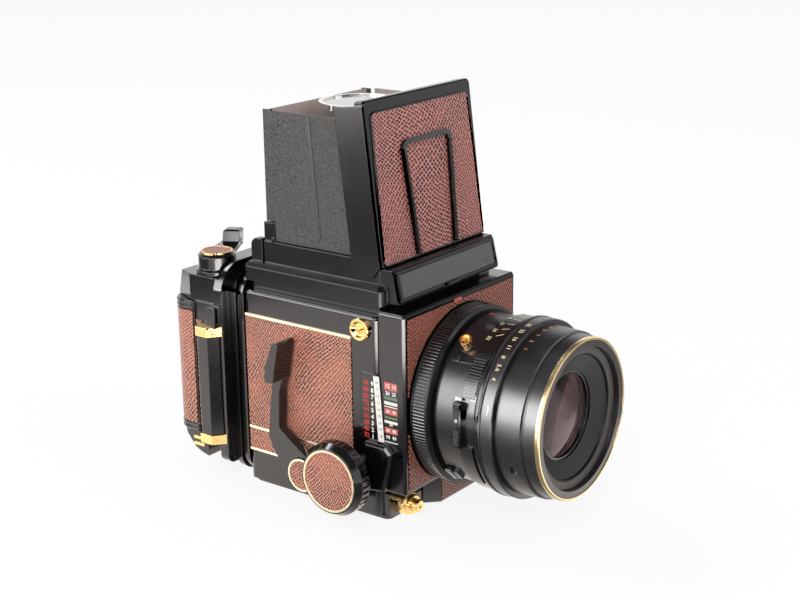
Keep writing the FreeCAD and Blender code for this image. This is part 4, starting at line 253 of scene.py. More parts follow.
def panelled(name, colour, panel):
    """Lacquer on the hood's plate, whose sunk panel shows bare satin grey metal."""
    material = enamelled(name, colour, 0.19, 1.2, 0.014, 1.0, IOR=1.47)
    tree = material.node_tree
    place = add(tree, "ShaderNodeTexCoord").outputs["Object"]
    lean = math.radians(PLATE_LEAN)
    ahead = add(tree, "ShaderNodeVectorMath", {0: place, 1: (0, -math.cos(lean), math.sin(lean))},
                operation="DOT_PRODUCT")
    parts = add(tree, "ShaderNodeSeparateXYZ", {"Vector": place})
    inside = 1.0
    sources = (ahead.outputs["Value"], parts.outputs["X"], parts.outputs["Z"])
    for source, (middle, half) in zip(sources, PLATE_PANEL):
        near = add(tree, "ShaderNodeMath", {0: source, 1: middle * MM, 2: half * MM},
                   operation="COMPARE")
        both = add(tree, "ShaderNodeMath", {0: near.outputs["Value"], 1: inside},
                   operation="MULTIPLY")
        inside = both.outputs["Value"]
    tone = add(tree, "ShaderNodeMix", {"Factor": inside, "A": paint(colour), "B": paint(panel)},
               data_type="RGBA")
    tree.links.new(tone.outputs["Result"], tree.nodes["Principled BSDF"].inputs["Base Color"])
    return material


# Stoved enamel is a thick clear film over black: near black, with sharp mirrored edges
ENAMEL = enamelled("gloss_black_enamel", "#0a0909", 0.16, 3.0, 0.012, 1.0, IOR=1.5,
                   Coat_Weight=0.5, Coat_Roughness=0.06)
# Sprayed lacquer has no clear film over it: its reflections are a little softer
HOOD_ENAMEL = enamelled("satin_black_lacquer", "#090909", 0.19, 1.2, 0.014, 1.0, IOR=1.47)
# Black anodised aluminium has a dyed oxide skin over bright metal: a broad satin highlight
ANODISED = enamelled("satin_black_anodised_aluminium", "#100f0f", 0.3, 0.8, 0.012, 0.35, IOR=2.0)
REAR_ANODISED = enamelled("satin_black_rear_barrel", "#100f0f", 0.3, 0.8, 0.012, 0.35, IOR=1.75)
# The hood's plate is lacquered like the hood, and its bare panel gives a flat dark grey
PLATE = panelled("bare_hood_plate", "#090909", "#4a4a49")
# Turned and anodised ribs: very dark, with a thin bright line along each
GROOVED = enamelled("ribbed_black_anodised_aluminium", "#080808", 0.2, 0.8, 0.012, 0.2, IOR=1.8)
# The mouth is nearly matt against stray light, so it stays dark
LENS_MOUTH = enamelled("satin_black_lens_mouth", "#0b0b0b", 0.4, 0.8, 0.01, 0.2, IOR=1.4)
# The bare ring beside the glass is a dull warm grey
NAME_RING = enamelled("bare_black_front_ring", "#403d3a", 0.45, 0.8, 0.01, 0.2, IOR=1.5)
# A polished element deep in the lens: a dome whose dark red is painted shade of the lens's inside,
# tinted with a painted mauve reflection, and one sharp highlight
INNER_GLASS_PAINTED_SHADE = enamelled("inner_element_painted_shade", "#241316", 0.05, 20.0, 0.002, 0.0, IOR=1.7,
                        Coat_Weight=0.5)
# The ribs are a little paler and reflect more than their ring, whose darker matt finish is painted
# shade between them
RIBBED = enamelled("reflective_black_ribs", "#141313", 0.28, 0.8, 0.01, 0.0, IOR=2.2)
# Black plastic, satin from its mould: a soft and even highlight
PLASTIC = grained("black_moulded_plastic", "#131313", 0.42, 0.7, 0.03)
# Baked crinkle lacquer scatters light from small bumps, so the sheet looks dark grey; that light
# is painted in as grey speckle, and the inner faces carry a pale painted glare
CRINKLE_RIGHT = crinkled("crinkle_lacquer_right", "X", -44.3, "GREATER_THAN", 60.0)
CRINKLE_LEFT = crinkled("crinkle_lacquer_left", "X", 44.3, "LESS_THAN", 60.0)
CRINKLE_REAR = crinkled("crinkle_lacquer_rear", "Y", 36.1, "LESS_THAN", 42.0)
# Lizard skin, dyed brown and glazed: a pale glossy net round darker scales. The shades are the
# net's, the scales' and their hollows'
SKIN = ("#d1947f", "#944f3e", "#2e0a07")
# The front's copy is darker all over: painted shade, for faces turned away from the key lamp
FRONT_SHADED_TONES = ("#a86a5a", "#66322a", "#280a08")
# The lid's copy is darker too, as painted shade, and tinted mauve as a painted reflection of the
# sky
LID_SHADED_TONES = ("#b87d76", "#5f2a25", "#1c0504")
SIDE_SKIN = leather("lizard_skin_side", "Y", "Z", 1.5, 1.8, SKIN)
FRONT_SHADED_SKIN = leather("lizard_skin_front_painted_shade", "X", "Z", 1.9, 1.8, FRONT_SHADED_TONES)
LID_SHADED_SKIN = leather("lizard_skin_lid_painted_shade", "X", "Z", 2.0, 1.85, LID_SHADED_TONES)
DOOR_SKIN = leather("lizard_skin_door", "X", "Z", 1.5, 1.8, SKIN, wrapped=True)
TOP_SKIN = leather("lizard_skin_top", "X", "Y", 1.4, 1.4, SKIN)
# Gold plate takes the polish of its brass: warm, with soft hand-buffed streaks
GOLD = plated("polished_gold_plate", "#f7cf8c", 0.22)
RIM_GOLD = plated("gold_plated_rim", "#fbe0ac", 0.2)
PALE_GOLD = plated("pale_gold_line", "#fbe9c6", 0.3)
# Brushed steel spreads its highlight, chrome over brass is almost a mirror, and silvered glass is
# one
STEEL = grained("brushed_steel", "#b9b7b2", 0.3, 0.5, 0.02, 0.2, Metallic=1.0)
BRIGHT = grained("bright_chromed_brass", "#e9e6e2", 0.12, 1.5, 0.02, 0.2, Metallic=1.0)
SILVERED = grained("front_silvered_glass", "#e6e8ea", 0.04, 20.0, 0.02, 0.2, Metallic=1.0)
# Filled and printed marks are a satin enamel that keeps its colour at every angle
WHITE_PRINT = grained("white_printed_enamel", "#f2efe8", 0.4, 0.7, 0.03)
RED_PRINT = grained("red_printed_enamel", "#b8322c", 0.4, 0.7, 0.03)
PALE_RED_PRINT = grained("pale_red_printed_enamel", "#c6605c", 0.4, 0.7, 0.03)
GREEN_PRINT = grained("green_printed_enamel", "#6b7d66", 0.4, 0.7, 0.03)
CREAM_PRINT = grained("cream_printed_enamel", "#f1dfb4", 0.4, 0.7, 0.03)
ORANGE_PRINT = grained("orange_printed_enamel", "#e0935c", 0.4, 0.7, 0.03)
# Rubbered bellows cloth and flocked linings give back almost no light
BLACK_CLOTH = grained("black_bellows_cloth", "#0d0d0d", 0.85, 0.7, 0.03)
DARK = grained("flat_black_lining", "#060606", 0.9, 0.7, 0.03)


def glassy(name, tint, roughness, coating):
    """Polished optical glass: clear, with a coloured reflection from its coating."""
    return grained(name, tint, roughness, 30.0, 0.005, strength=0.2, Transmission_Weight=1.0,
                   IOR=1.5, Coat_Weight=0.4, Specular_Tint=paint(coating),
                   Coat_Tint=paint(coating))


# The coating turns the lens's reflections rose, the screen is ground, the magnifier is plain
LENS_GLASS = glassy("coated_lens_glass", "#e9dcd8", 0.0, "#c89aa2")
SCREEN_GLASS = glassy("ground_screen_glass", "#dfe4e4", 0.35, "#ffffff")
CLEAR_GLASS = glassy("magnifier_glass", "#f2f6f4", 0.02, "#ffffff")

FINISHES = {
    "body_casing": ENAMEL, "base_plate": ENAMEL, "side_leather_right": SIDE_SKIN,
    "side_leather_left": SIDE_SKIN, "trim_lines": PALE_GOLD, "strap_lugs": GOLD,
    "body_scale_plate": ENAMEL, "focusing_screen": SCREEN_GLASS, "pinion_housing": ENAMEL,
    "release_collar": GOLD, "release_button": GOLD, "bellows": BLACK_CLOTH, "focus_shaft": STEEL,
    "focus_knob_right": ENAMEL, "focus_knob_left": ENAMEL, "knob_rings": PALE_GOLD,
    "knob_leather": SIDE_SKIN, "shaft_collars": ENAMEL, "focus_lock_lever": ENAMEL,
    "cocking_lever": ENAMEL, "cocking_hub_ring": PALE_GOLD, "cocking_hub_leather": SIDE_SKIN,
    "mirror_frame": DARK, "mirror_glass": SILVERED, "front_standard": ENAMEL,
    # The bayonet ring takes the mouth's darker matt finish as painted shade in the gaps between
    # its ribs
    "standard_leather": FRONT_SHADED_SKIN, "focus_racks": STEEL, "bayonet_ring": LENS_MOUTH,
    "lens_rear_barrel": REAR_ANODISED, "sync_socket": GOLD, "speed_ring": GROOVED,
    "aperture_ring": ANODISED, "depth_scale_ring": ANODISED, "lens_front_barrel": ANODISED,
    "lens_rim": RIM_GOLD, "front_glass": LENS_GLASS, "rear_glass": LENS_GLASS,
    "iris_blades": STEEL, "hood_base": HOOD_ENAMEL, "nose_plate": PLATE,
    "hood_lid": HOOD_ENAMEL, "lid_leather": LID_SHADED_SKIN, "lid_moulding": ENAMEL,
    "hood_leaf_right": CRINKLE_RIGHT, "hood_leaf_left": CRINKLE_LEFT, "rear_panel": CRINKLE_REAR,
    "magnifier_arm": BRIGHT, "magnifier_glass": CLEAR_GLASS, "revolving_adapter": ENAMEL,
    "holder_casing": ENAMEL, "film_door": ENAMEL, "door_leather": DOOR_SKIN,
    "take_up_spool": PLASTIC, "supply_spool": PLASTIC, "lock_bar": ENAMEL, "lock_brackets": GOLD,
    "dark_slide": STEEL, "advance_lever": ENAMEL, "advance_ring": GOLD,
    "advance_leather": TOP_SKIN,
}
for node_name, finish in FINISHES.items():
    mesh = nodes[node_name].data
    mesh.materials.clear()
    mesh.materials.append(finish)


# Camera at the photograph's viewing angle, fitted to the body's straight edges

FOCAL_PIXELS, WIDE_PIXELS, SENSOR = 1535.5024, 800, 36.0
lens_data = bpy.data.cameras.new("photo_camera")
lens_data.sensor_width = SENSOR
lens_data.lens = FOCAL_PIXELS / WIDE_PIXELS * SENSOR
lens_data.clip_start, lens_data.clip_end = 0.05, 20
camera = bpy.data.objects.new("photo_camera", lens_data)
bpy.context.collection.objects.link(camera)
camera.matrix_world = Matrix((
    (0.60292288, 0.23833746, -0.76136670, -0.649133205),
    (-0.79770160, 0.16514909, -0.57999822, -0.512713583),
    (-0.01249628, 0.95703763, 0.28969434, 0.353809841),
    (0, 0, 0, 1),
))
bpy.context.scene.camera = camera
bpy.context.scene.view_settings.view_transform = "Standard"


# Floor, room and lamps, in metres. Reflections alone show the sweep, the window and the paper's
# brightness, which is given as pairs of distance and strength. AWAY runs to the left in the
# photograph, TOWARD to its camera.

SWEEP = {"From Min": 0.3, "From Max": 0.6, "To Min": 1.1, "To Max": 0.1}
WINDOW_AT = (-0.88, 0.46, 0.06)
WINDOW = {"From Min": 0.8, "From Max": 0.93, "To Min": 0.0, "To Max": 6.5}
WINDOW_TOP = {"From Min": 0.42, "From Max": 0.56, "To Min": 1.0, "To Max": 0.0}
AMBIENT = 0.6
FLOOR_SIZE, FLOOR_WHITE, FLOOR_MIRRORED = 6, 0.88, 0.85
AWAY = Vector((-0.61, 0.79, 0))
TOWARD = Vector((-0.79, -0.61, 0))
AWAY_REACH, TOWARD_REACH = 2.0, 0.6
PAPER = ((0.0, 1.7), (0.405, 1.7), (0.445, 0.1), (1.1, 0.1), (1.4, 4.0))
SPOT = ((0.0, 0.0), (0.31, 0.0), (0.34, 11.0), (0.46, 11.0), (0.52, 1.5))
SHADE = ((0.0, 0.0), (0.06, 0.0), (0.1, 1.55), (0.3, 1.55), (0.33, 0.0))
SPOT_SIDES = {"From Min": 0.12, "From Max": 0.18, "To Min": 1.0, "To Max": 0.0}
RIGHT = {"From Min": -0.2, "From Max": -0.26, "To Min": 0.0, "To Max": 1.0}
BEHIND = {"From Min": 0.06, "From Max": -0.02, "To Min": 0.0, "To Max": 1.5}


def seen_directly(tree, ray):
    """One for what the camera sees, also through glass."""
    return add(tree, "ShaderNodeMath", {0: ray.outputs["Is Camera Ray"],
                                        1: ray.outputs["Is Transmission Ray"]},
               operation="MAXIMUM")


def set_room():
    """White to the camera; reflections show a pale sweep, a bright window and a dark ceiling."""
    world = bpy.data.worlds.new("room")
    bpy.context.scene.world = world
    world.use_nodes = True
    tree = world.node_tree
    ray = add(tree, "ShaderNodeLightPath")
    shown = seen_directly(tree, ray)
    direction = add(tree, "ShaderNodeTexCoord").outputs["Generated"]
    height = add(tree, "ShaderNodeSeparateXYZ", {"Vector": direction})
    sweep = add(tree, "ShaderNodeMapRange", {"Value": height.outputs["Z"], **SWEEP},
                interpolation_type="SMOOTHSTEP")
    facing = add(tree, "ShaderNodeVectorMath", {0: direction, 1: WINDOW_AT},
                 operation="DOT_PRODUCT")
    window = add(tree, "ShaderNodeMapRange", {"Value": facing.outputs["Value"], **WINDOW},
                 interpolation_type="SMOOTHSTEP")
    low = add(tree, "ShaderNodeMapRange", {"Value": height.outputs["Z"], **WINDOW_TOP},
              interpolation_type="SMOOTHSTEP")
    panes = add(tree, "ShaderNodeMath", {0: window.outputs["Result"], 1: low.outputs["Result"]},
                operation="MULTIPLY")
    bright = add(tree, "ShaderNodeMath", {0: sweep.outputs["Result"], 1: panes.outputs["Value"]})
    lit = add(tree, "ShaderNodeMix", {"Factor": ray.outputs["Is Glossy Ray"], "A": AMBIENT,
                                      "B": bright.outputs["Value"]})
    level = add(tree, "ShaderNodeMix", {"Factor": shown.outputs["Value"],
                                        "A": lit.outputs["Result"], "B": 1.0})
    tree.links.new(level.outputs["Result"], tree.nodes["Background"].inputs["Color"])


def strengths(tree, along, reach, stops):
    """A brightness that changes with the distance along a direction."""
    distance = add(tree, "ShaderNodeMath", {0: along.outputs["Value"], 1: reach},
                   operation="DIVIDE")
    curve = add(tree, "ShaderNodeFloatCurve", {"Value": distance.outputs["Value"]})
    points = curve.mapping.curves[0].points
    top = max(value for _, value in stops)
    while len(points) < len(stops):
        points.new(0.5, 0.5)
    for point, (place, value) in zip(points, stops):
        point.location = (place / reach, value / top)
        point.handle_type = "VECTOR"
    curve.mapping.update()
    return add(tree, "ShaderNodeMath", {0: curve.outputs["Value"], 1: top},
               operation="MULTIPLY").outputs["Value"]


def set_floor():
    """White paper that keeps the soft shadow; in reflections it is brightest in front and ends."""
    bpy.ops.object.select_all(action="DESELECT")
    bpy.ops.mesh.primitive_plane_add(size=FLOOR_SIZE, location=(0, 0, 0))
    floor = bpy.context.object
    floor.name = "floor"
    material, tree, shader = surface("white_paper_floor", "#f4f4f4", 0.9, Specular_IOR_Level=0.0)
    ray = add(tree, "ShaderNodeLightPath")
    white = add(tree, "ShaderNodeEmission", {"Strength": 1.0})
    shown = seen_directly(tree, ray)
    seen = add(tree, "ShaderNodeMath", {0: shown.outputs["Value"], 1: FLOOR_WHITE},
               operation="MULTIPLY")
    place = add(tree, "ShaderNodeTexCoord").outputs["Object"]
    sideways = add(tree, "ShaderNodeVectorMath", {0: place, 1: AWAY}, operation="DOT_PRODUCT")
    paper = strengths(tree, sideways, AWAY_REACH, PAPER)
    nearer = add(tree, "ShaderNodeVectorMath", {0: place, 1: TOWARD}, operation="DOT_PRODUCT")
    front = strengths(tree, nearer, TOWARD_REACH, SPOT)
    shade = strengths(tree, nearer, TOWARD_REACH, SHADE)
    lamp_light = add(tree, "ShaderNodeMath", {0: front, 1: shade}, operation="SUBTRACT")
    beside = add(tree, "ShaderNodeMath", {0: sideways.outputs["Value"]}, operation="ABSOLUTE")
    middle = add(tree, "ShaderNodeMapRange", {"Value": beside.outputs["Value"], **SPOT_SIDES})
    spot = add(tree, "ShaderNodeMath", {0: lamp_light.outputs["Value"],
                                        1: middle.outputs["Result"]}, operation="MULTIPLY")
    right = add(tree, "ShaderNodeMapRange", {"Value": sideways.outputs["Value"], **RIGHT})
    behind = add(tree, "ShaderNodeMapRange", {"Value": nearer.outputs["Value"], **BEHIND})
    unlit = add(tree, "ShaderNodeMath", {0: right.outputs["Result"], 1: behind.outputs["Result"]},
                operation="MULTIPLY")
    lit_paper = add(tree, "ShaderNodeMath", {0: paper, 1: unlit.outputs["Value"]},
                    operation="SUBTRACT")
    strength = add(tree, "ShaderNodeMath", {0: lit_paper.outputs["Value"],
                                            1: spot.outputs["Value"]})
    mirrored = add(tree, "ShaderNodeEmission", {"Color": paint("#fff8f3"),
                                                "Strength": strength.outputs["Value"]})
    reflected = add(tree, "ShaderNodeMath", {0: ray.outputs["Is Glossy Ray"], 1: FLOOR_MIRRORED},
                    operation="MULTIPLY")
    lit = add(tree, "ShaderNodeMixShader", {0: reflected.outputs["Value"],
                                            1: shader.outputs["BSDF"],
                                            2: mirrored.outputs["Emission"]})
    mixed = add(tree, "ShaderNodeMixShader", {0: seen.outputs["Value"], 1: lit.outputs["Shader"],
                                              2: white.outputs["Emission"]})
    tree.links.new(mixed.outputs["Shader"], tree.nodes["Material Output"].inputs["Surface"])
    floor.data.materials.append(material)


def lamp(name, place, size, watts):
    """A soft box that faces the middle of the camera."""
    data = bpy.data.lights.new(name, "AREA")
    data.shape = "RECTANGLE"
    data.size, data.size_y = size
    data.energy = watts
    light = bpy.data.objects.new(name, data)
    bpy.context.collection.objects.link(light)
    light.location = place
    aim = Vector((0, 0, 0.1)) - Vector(place)
    light.rotation_euler = aim.to_track_quat("-Z", "Y").to_euler()


set_room()
set_floor()
lamp("key_softbox", (-1.7, -0.7, 1.3), (1.0, 1.0), 22)
lamp("front_softbox", (0.6, -1.9, 1.0), (0.9, 0.9), 9)
lamp("back_softbox", (0.1, 1.25, 1.65), (1.1, 0.4), 12)


# Modelling helpers

def single(piece=None):
    """Leave only one piece selected, or none."""
    bpy.ops.object.select_all(action="DESELECT")
    if piece is not None:
        piece.select_set(True)
        bpy.context.view_layer.objects.active = piece


def put(piece, matrix):
    """Move a piece's mesh, so that its object stays at the origin."""
    piece.data.transform(matrix)
    piece.data.update()
    return piece


def settle(piece, name, body, material, smooth=None):
    """Name a finished piece, give it its material and its body."""
    piece.name = name
    piece.data.name = name
    piece.data.materials.clear()
    piece.data.materials.append(material)
    single(piece)
    if smooth is not None:
        bpy.ops.object.shade_smooth_by_angle(angle=math.radians(smooth))
    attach(piece, body)
    return piece


def finish_with(piece, kind, **settings):
    """Add a modifier and apply it."""
    single(piece)
    modifier = piece.modifiers.new(kind.title(), kind)
    for name, value in settings.items():
        setattr(modifier, name, value)
    bpy.ops.object.modifier_apply(modifier=modifier.name)
    return piece


def rounded_off(piece, bevel, segments):
    """Round a piece's sharp edges."""
    return finish_with(piece, "BEVEL", width=bevel * MM, segments=segments, limit_method="ANGLE")


def block(low, high, bevel=0.0, segments=2):
    """A block between two corners, with rounded edges."""
    low, high = Vector(low) * MM, Vector(high) * MM
    single()
    bpy.ops.mesh.primitive_cube_add(size=1)
    piece = bpy.context.object
    size = high - low
    put(piece, Matrix.Translation((low + high) / 2) @ Matrix.Diagonal((*size, 1)))
    return rounded_off(piece, bevel, segments) if bevel else piece


def plaque(wide, high, sunk, proud, bevel=0.0, segments=2):
    """A block centred on its place, which it enters by sunk and leaves by proud."""
    return block((-wide / 2, -high / 2, -sunk), (wide / 2, high / 2, proud), bevel, segments)


def copy_of(piece, matrix):
    """A copy of a piece with its own mesh, moved."""
    twin = piece.copy()
    twin.data = piece.data.copy()
    bpy.context.collection.objects.link(twin)
    twin.data.transform(matrix)
    return twin


def joined(pieces):
    """Several pieces as one mesh."""
    single(pieces[0])
    for piece in pieces[1:]:
        piece.select_set(True)
    bpy.ops.object.join()
    return bpy.context.object


def lathe(profile, sides=96):
    """A turned wall through (radius, ahead) points: a circle extruded and scaled at each point."""
    single()
    radius, ahead = profile[0]
    bpy.ops.mesh.primitive_circle_add(vertices=sides, radius=radius * MM, location=(0, 0, 0))
    piece = put(bpy.context.object, Matrix.Translation((0, 0, ahead * MM)))
    bpy.ops.object.mode_set(mode="EDIT")
    bpy.ops.mesh.select_all(action="SELECT")
    for wider, further in profile[1:]:
        step = {"value": (0, 0, (further - ahead) * MM)}
        bpy.ops.mesh.extrude_region_move(TRANSFORM_OT_translate=step)
        bpy.ops.transform.resize(value=(wider / radius, wider / radius, 1),
                                 center_override=(0, 0, further * MM))
        radius, ahead = wider, further
    bpy.ops.mesh.select_all(action="SELECT")
    bpy.ops.mesh.remove_doubles(threshold=0.02 * MM)
    bpy.ops.mesh.normals_make_consistent(inside=False)
    bpy.ops.object.mode_set(mode="OBJECT")
    return piece


def cut(piece, point, normal):
    """Cut off the side of a piece that a plane's normal points to, and close it."""
    single(piece)
    bpy.ops.object.mode_set(mode="EDIT")
    bpy.ops.mesh.select_all(action="SELECT")
    bpy.ops.mesh.bisect(plane_co=Vector(point) * MM, plane_no=normal, use_fill=True,
                        clear_outer=True)
    bpy.ops.object.mode_set(mode="OBJECT")
    return piece


def hoop(outline, radius, rounding, matrix):
    """A rounded wire along a closed outline with rounded corners."""
    single()
    bpy.ops.mesh.primitive_circle_add(vertices=len(outline), radius=1, location=(0, 0, 0))
    for vertex, (across, up) in zip(bpy.context.object.data.vertices, outline):
        vertex.co = (across * MM, up * MM, 0)
    bpy.ops.object.mode_set(mode="EDIT")
    bpy.ops.mesh.select_all(action="SELECT")
    bpy.ops.mesh.bevel(offset=rounding * MM, segments=6, affect="VERTICES")
    bpy.ops.object.mode_set(mode="OBJECT")
    bpy.ops.object.convert(target="CURVE")
    wire = bpy.context.object.data
    wire.bevel_depth = radius * MM
    wire.bevel_resolution = 3
    bpy.ops.object.convert(target="MESH")
    return put(bpy.context.object, matrix)


def figure(text, high, matrix, thick, bold):
    """A plain figure as a thin raised mesh, its lines made bolder by the given width."""
    single()
    bpy.ops.object.text_add()
    letters = bpy.context.object.data
    letters.body = text
    letters.size = high * MM * 1.35
    letters.extrude = thick * MM / 2
    letters.align_x = "CENTER"
    letters.align_y = "CENTER"
    letters.resolution_u = 2
    letters.offset = bold * MM
    bpy.ops.object.convert(target="MESH")
    return put(bpy.context.object, matrix)


# Places on the camera

def around_lens(turn, ahead, radius):
    """A place on the barrel: X runs down its right side, Y to the front, Z outwards.

    turn is in degrees from the right side over the top.
    """
    a = math.radians(turn)
    return Matrix((
        (-math.sin(a), 0, -math.cos(a), -math.cos(a) * radius * MM),
        (0, -1, 0, -(STANDARD_FRONT + ahead) * MM),
        (-math.cos(a), 0, math.sin(a), math.sin(a) * radius * MM + LENS_HEIGHT * MM),
        (0, 0, 0, 1),
    ))


def on_front(across, ahead, up):
    """A place before the standard: X to the left, Y up, Z to the front."""
    return Matrix(((1, 0, 0, across * MM), (0, 0, -1, -(STANDARD_FRONT + ahead) * MM),
                   (0, 1, 0, up * MM), (0, 0, 0, 1)))


def on_right_side(y, z, x):
    """A place on the right side: X runs forward, Y up, Z outwards."""
    return Matrix(((0, 0, -1, x * MM), (-1, 0, 0, y * MM), (0, 1, 0, z * MM), (0, 0, 0, 1)))


LENS_AXIS = on_front(0, 0, LENS_HEIGHT)


# Lens: rings and marks. Each figure comes with its turn round the barrel; the depth lines fan out
# about the middle one

RIB_COUNT, RIB_AHEAD, RIB_LONG, RIB_RADIUS = 168, 6.8, 7.8, 48.9
APERTURES = (("4", 35), ("5.6", 42.5), ("8", 50), ("11", 57.5), ("16", 65), ("22", 73),
             ("32", 81))
DEPTHS = (("32", 62), ("16", 70), ("11", 78), ("4", 87), ("11", 96), ("16", 104), ("32", 112))
SPEEDS = (("30", 58), ("60", 70), ("125", 83), ("250", 97), ("500", 111))
DISTANCES = (("1", 62), ("2", 70), ("3", 78), ("5", 86), ("8", 94), ("15", 103), ("30", 112))
DEPTH_MIDDLE, DEPTH_SLANT, DEPTH_SPREAD = 87, 1.3, 0.82


def bayonet_ribs():
    """Fine ribs round the sunk grip band of the lens lock ring."""
    rib = block((-0.4, -RIB_LONG / 2, -0.3), (0.4, RIB_LONG / 2, 0.58), 0.34, 2)
    ribs = [copy_of(rib, around_lens(360 / RIB_COUNT * number, RIB_AHEAD, RIB_RADIUS))
            for number in range(RIB_COUNT)]
    bpy.data.objects.remove(rib)
    settle(joined(ribs), "bayonet_grip_ribs", "bayonet", RIBBED)


def ring_figures(name, body, texts, high, ahead, radius, thick, bold, material=CREAM_PRINT):
    """A row of figures round the barrel."""
    row = [figure(text, high, around_lens(turn, ahead, radius), thick, bold)
           for text, turn in texts]
    settle(joined(row), name, body, material)


def ring_marks():
    """Plain figures and index lines on the rings."""
    ring_figures("aperture_figures", "depth_scale", APERTURES, 2.5, 47.4, 48.64, 0.06, 0.05)
    ring_figures("depth_figures", "speed", DEPTHS, 2.3, 32.6, 47.86, 0.06, 0.05)
    lines = []
    for _, turn in DEPTHS:
        slant = Matrix.Rotation(math.radians((DEPTH_MIDDLE - turn) * DEPTH_SLANT), 4, "Z")
        line = put(plaque(0.4, 4.2, 0.02, 0.05), slant)
        foot = DEPTH_MIDDLE + (turn - DEPTH_MIDDLE) * DEPTH_SPREAD
        lines.append(put(line, around_lens(foot, 37.4, 47.7)))
    settle(joined(lines), "depth_lines", "speed", CREAM_PRINT)
    ring_figures("front_figures", "standard", SPEEDS, 2.7, 60.6, 44.862, 0.5, 0.05)
    ring_figures("distance_figures", "standard", DISTANCES, 2.2, 54.2, 45.4, 0.3, 0.04,
                 ORANGE_PRINT)
    settle(put(plaque(3.0, 2.4, 0.05, 0.12, 0.08), around_lens(94.5, 17, 46)), "lens_red_index",
           "standard", RED_PRINT)
    settle(put(plaque(6.8, 1.8, 0.05, 0.08, 0.05), on_front(-4.4, 0.62, 115.6)),
           "standard_red_index", "standard", PALE_RED_PRINT)


# Lens: fittings on the barrel's right side

LEVER_AT = (2.5, 31.4, 48.6)
GRIP_STEPS = (3.4, 4.8, 6.2, 7.6, 9.0, 10.4)
SOCKET_NUT = [(3.5, 0), (3.5, 1.2), (2.9, 1.7), (2.2, 1.7), (1.9, 0.7), (1.0, 0.7), (0.9, 1.5),
              (0.01, 1.6)]
GUARD_RING = [(48.3, 41.6), (49.0, 41.9), (49.0, 43.2), (48.3, 43.5), (47.6, 42.6), (48.3, 41.6)]


def screw(radius, place):
    """A small round screw head with a sunk middle."""
    head = [(radius, 0), (radius, 0.3), (radius * 0.86, 0.42), (radius * 0.5, 0.42),
            (radius * 0.42, 0.12), (0.01, 0.1)]
    return put(lathe(head, 20), around_lens(*place))


def barrel_fittings():
    """Levers, screws, white index marks, the flash socket's nut and the guard ring."""
    lever = block((-12.4, -2.5, -2.4), (12.4, 2.5, 1.9), 0.6, 3)
    grip = [put(plaque(0.7, 3.4, 0, 0.55, 0.15, 1), Matrix.Translation((x * MM, 0, 1.8 * MM)))
            for x in GRIP_STEPS]
    settle(put(joined([lever] + grip), around_lens(*LEVER_AT)), "mirror_release_lever",
           "standard", ENAMEL, 35)
    settle(screw(1.0, (5.5, 31.4, 50.45)), "lever_screw", "standard", STEEL, 30)
    settle(screw(1.3, (43, 22.4, 47.6)), "barrel_screw", "standard", ENAMEL, 30)
    marks = [put(plaque(1.6, 4.0, 0.1, 0.3, 0.12), around_lens(18.6, 30.4, 49.2)),
             put(plaque(3.0, 3.4, 0.1, 0.2, 0.1), around_lens(20.5, 38.4, 47.7)),
             put(plaque(5.2, 1.0, 0.1, 0.15, 0.1), around_lens(16, 48.6, 48.65))]
    settle(joined(marks), "white_index_marks", "standard", WHITE_PRINT)
    settle(put(plaque(9.6, 4.4, 1.0, 1.6, 0.6, 3), around_lens(-43, 17.6, 47.0)),
           "depth_lock_lever", "standard", ENAMEL, 35)
    settle(put(lathe(SOCKET_NUT, 6), around_lens(54.2, 23.4, 49.4)), "sync_socket_nut",
           "standard", GOLD)
    settle(put(lathe(GUARD_RING, 128), LENS_AXIS), "polished_guard_ring", "standard", ENAMEL,
           40)


# Lens: mouth

FRONT_RING = [(38.4, 72.4), (38.2, 73.1), (34.2, 72.4), (34.0, 71.6), (38.4, 71.6), (38.4, 72.4)]
MOUTH_STEPS = [(34.0, 72.2), (33.5, 72.2), (33.2, 71.0), (25.9, 67.1), (24.3, 66.7), (24.2, 65.6),
               (34.0, 70.5), (34.0, 72.2)]
SEATS = [(22.6, 61.6), (21.4, 61.0), (21.2, 59.4), (19.2, 58.6), (19.0, 56.4), (17.0, 55.6),
         (16.8, 52.0), (15.0, 51.0), (15.0, 46.0), (22.6, 46.0), (22.6, 61.6)]
INNER_DOME = [(16.6, 52.4), (14.5, 53.8), (11.5, 55.0), (8.0, 55.9), (4.0, 56.4), (0.01, 56.5)]


def lens_mouth():
    """The bare front ring, the stepped dark cone, and the inner elements behind the glass."""
    settle(put(lathe(FRONT_RING), LENS_AXIS), "bare_front_ring", "standard", NAME_RING,
           30)
    settle(put(lathe(MOUTH_STEPS), LENS_AXIS), "stepped_lens_mouth", "standard", LENS_MOUTH,
           30)
    settle(put(lathe(SEATS), LENS_AXIS), "inner_lens_seats", "standard", ENAMEL, 30)
    settle(put(lathe(INNER_DOME, 64), LENS_AXIS), "inner_lens_element", "standard", INNER_GLASS_PAINTED_SHADE,
           60)


bayonet_ribs()
ring_marks()
barrel_fittings()
lens_mouth()


# Bellows

def cloth_bellows():
    """The folded cloth bellows as imported, with doubled points merged; it is attached to no body.
    """
    folds = nodes["bellows"].data.copy()
    folds.name = "cloth_bellows"
    piece = bpy.data.objects.new("cloth_bellows", folds)
    bpy.context.collection.objects.link(piece)
    single(piece)
    bpy.ops.object.mode_set(mode="EDIT")
    bpy.ops.mesh.select_all(action="SELECT")
    bpy.ops.mesh.remove_doubles(threshold=0.01 * MM)
    bpy.ops.object.mode_set(mode="OBJECT")
    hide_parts("bellows")
    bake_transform(piece)


cloth_bellows()


# Distance scale: red and white figures beside a slanting white strip on the body, colour bands
# on the front standard. A band has its upper and lower edge, a figure its height, Y and Z

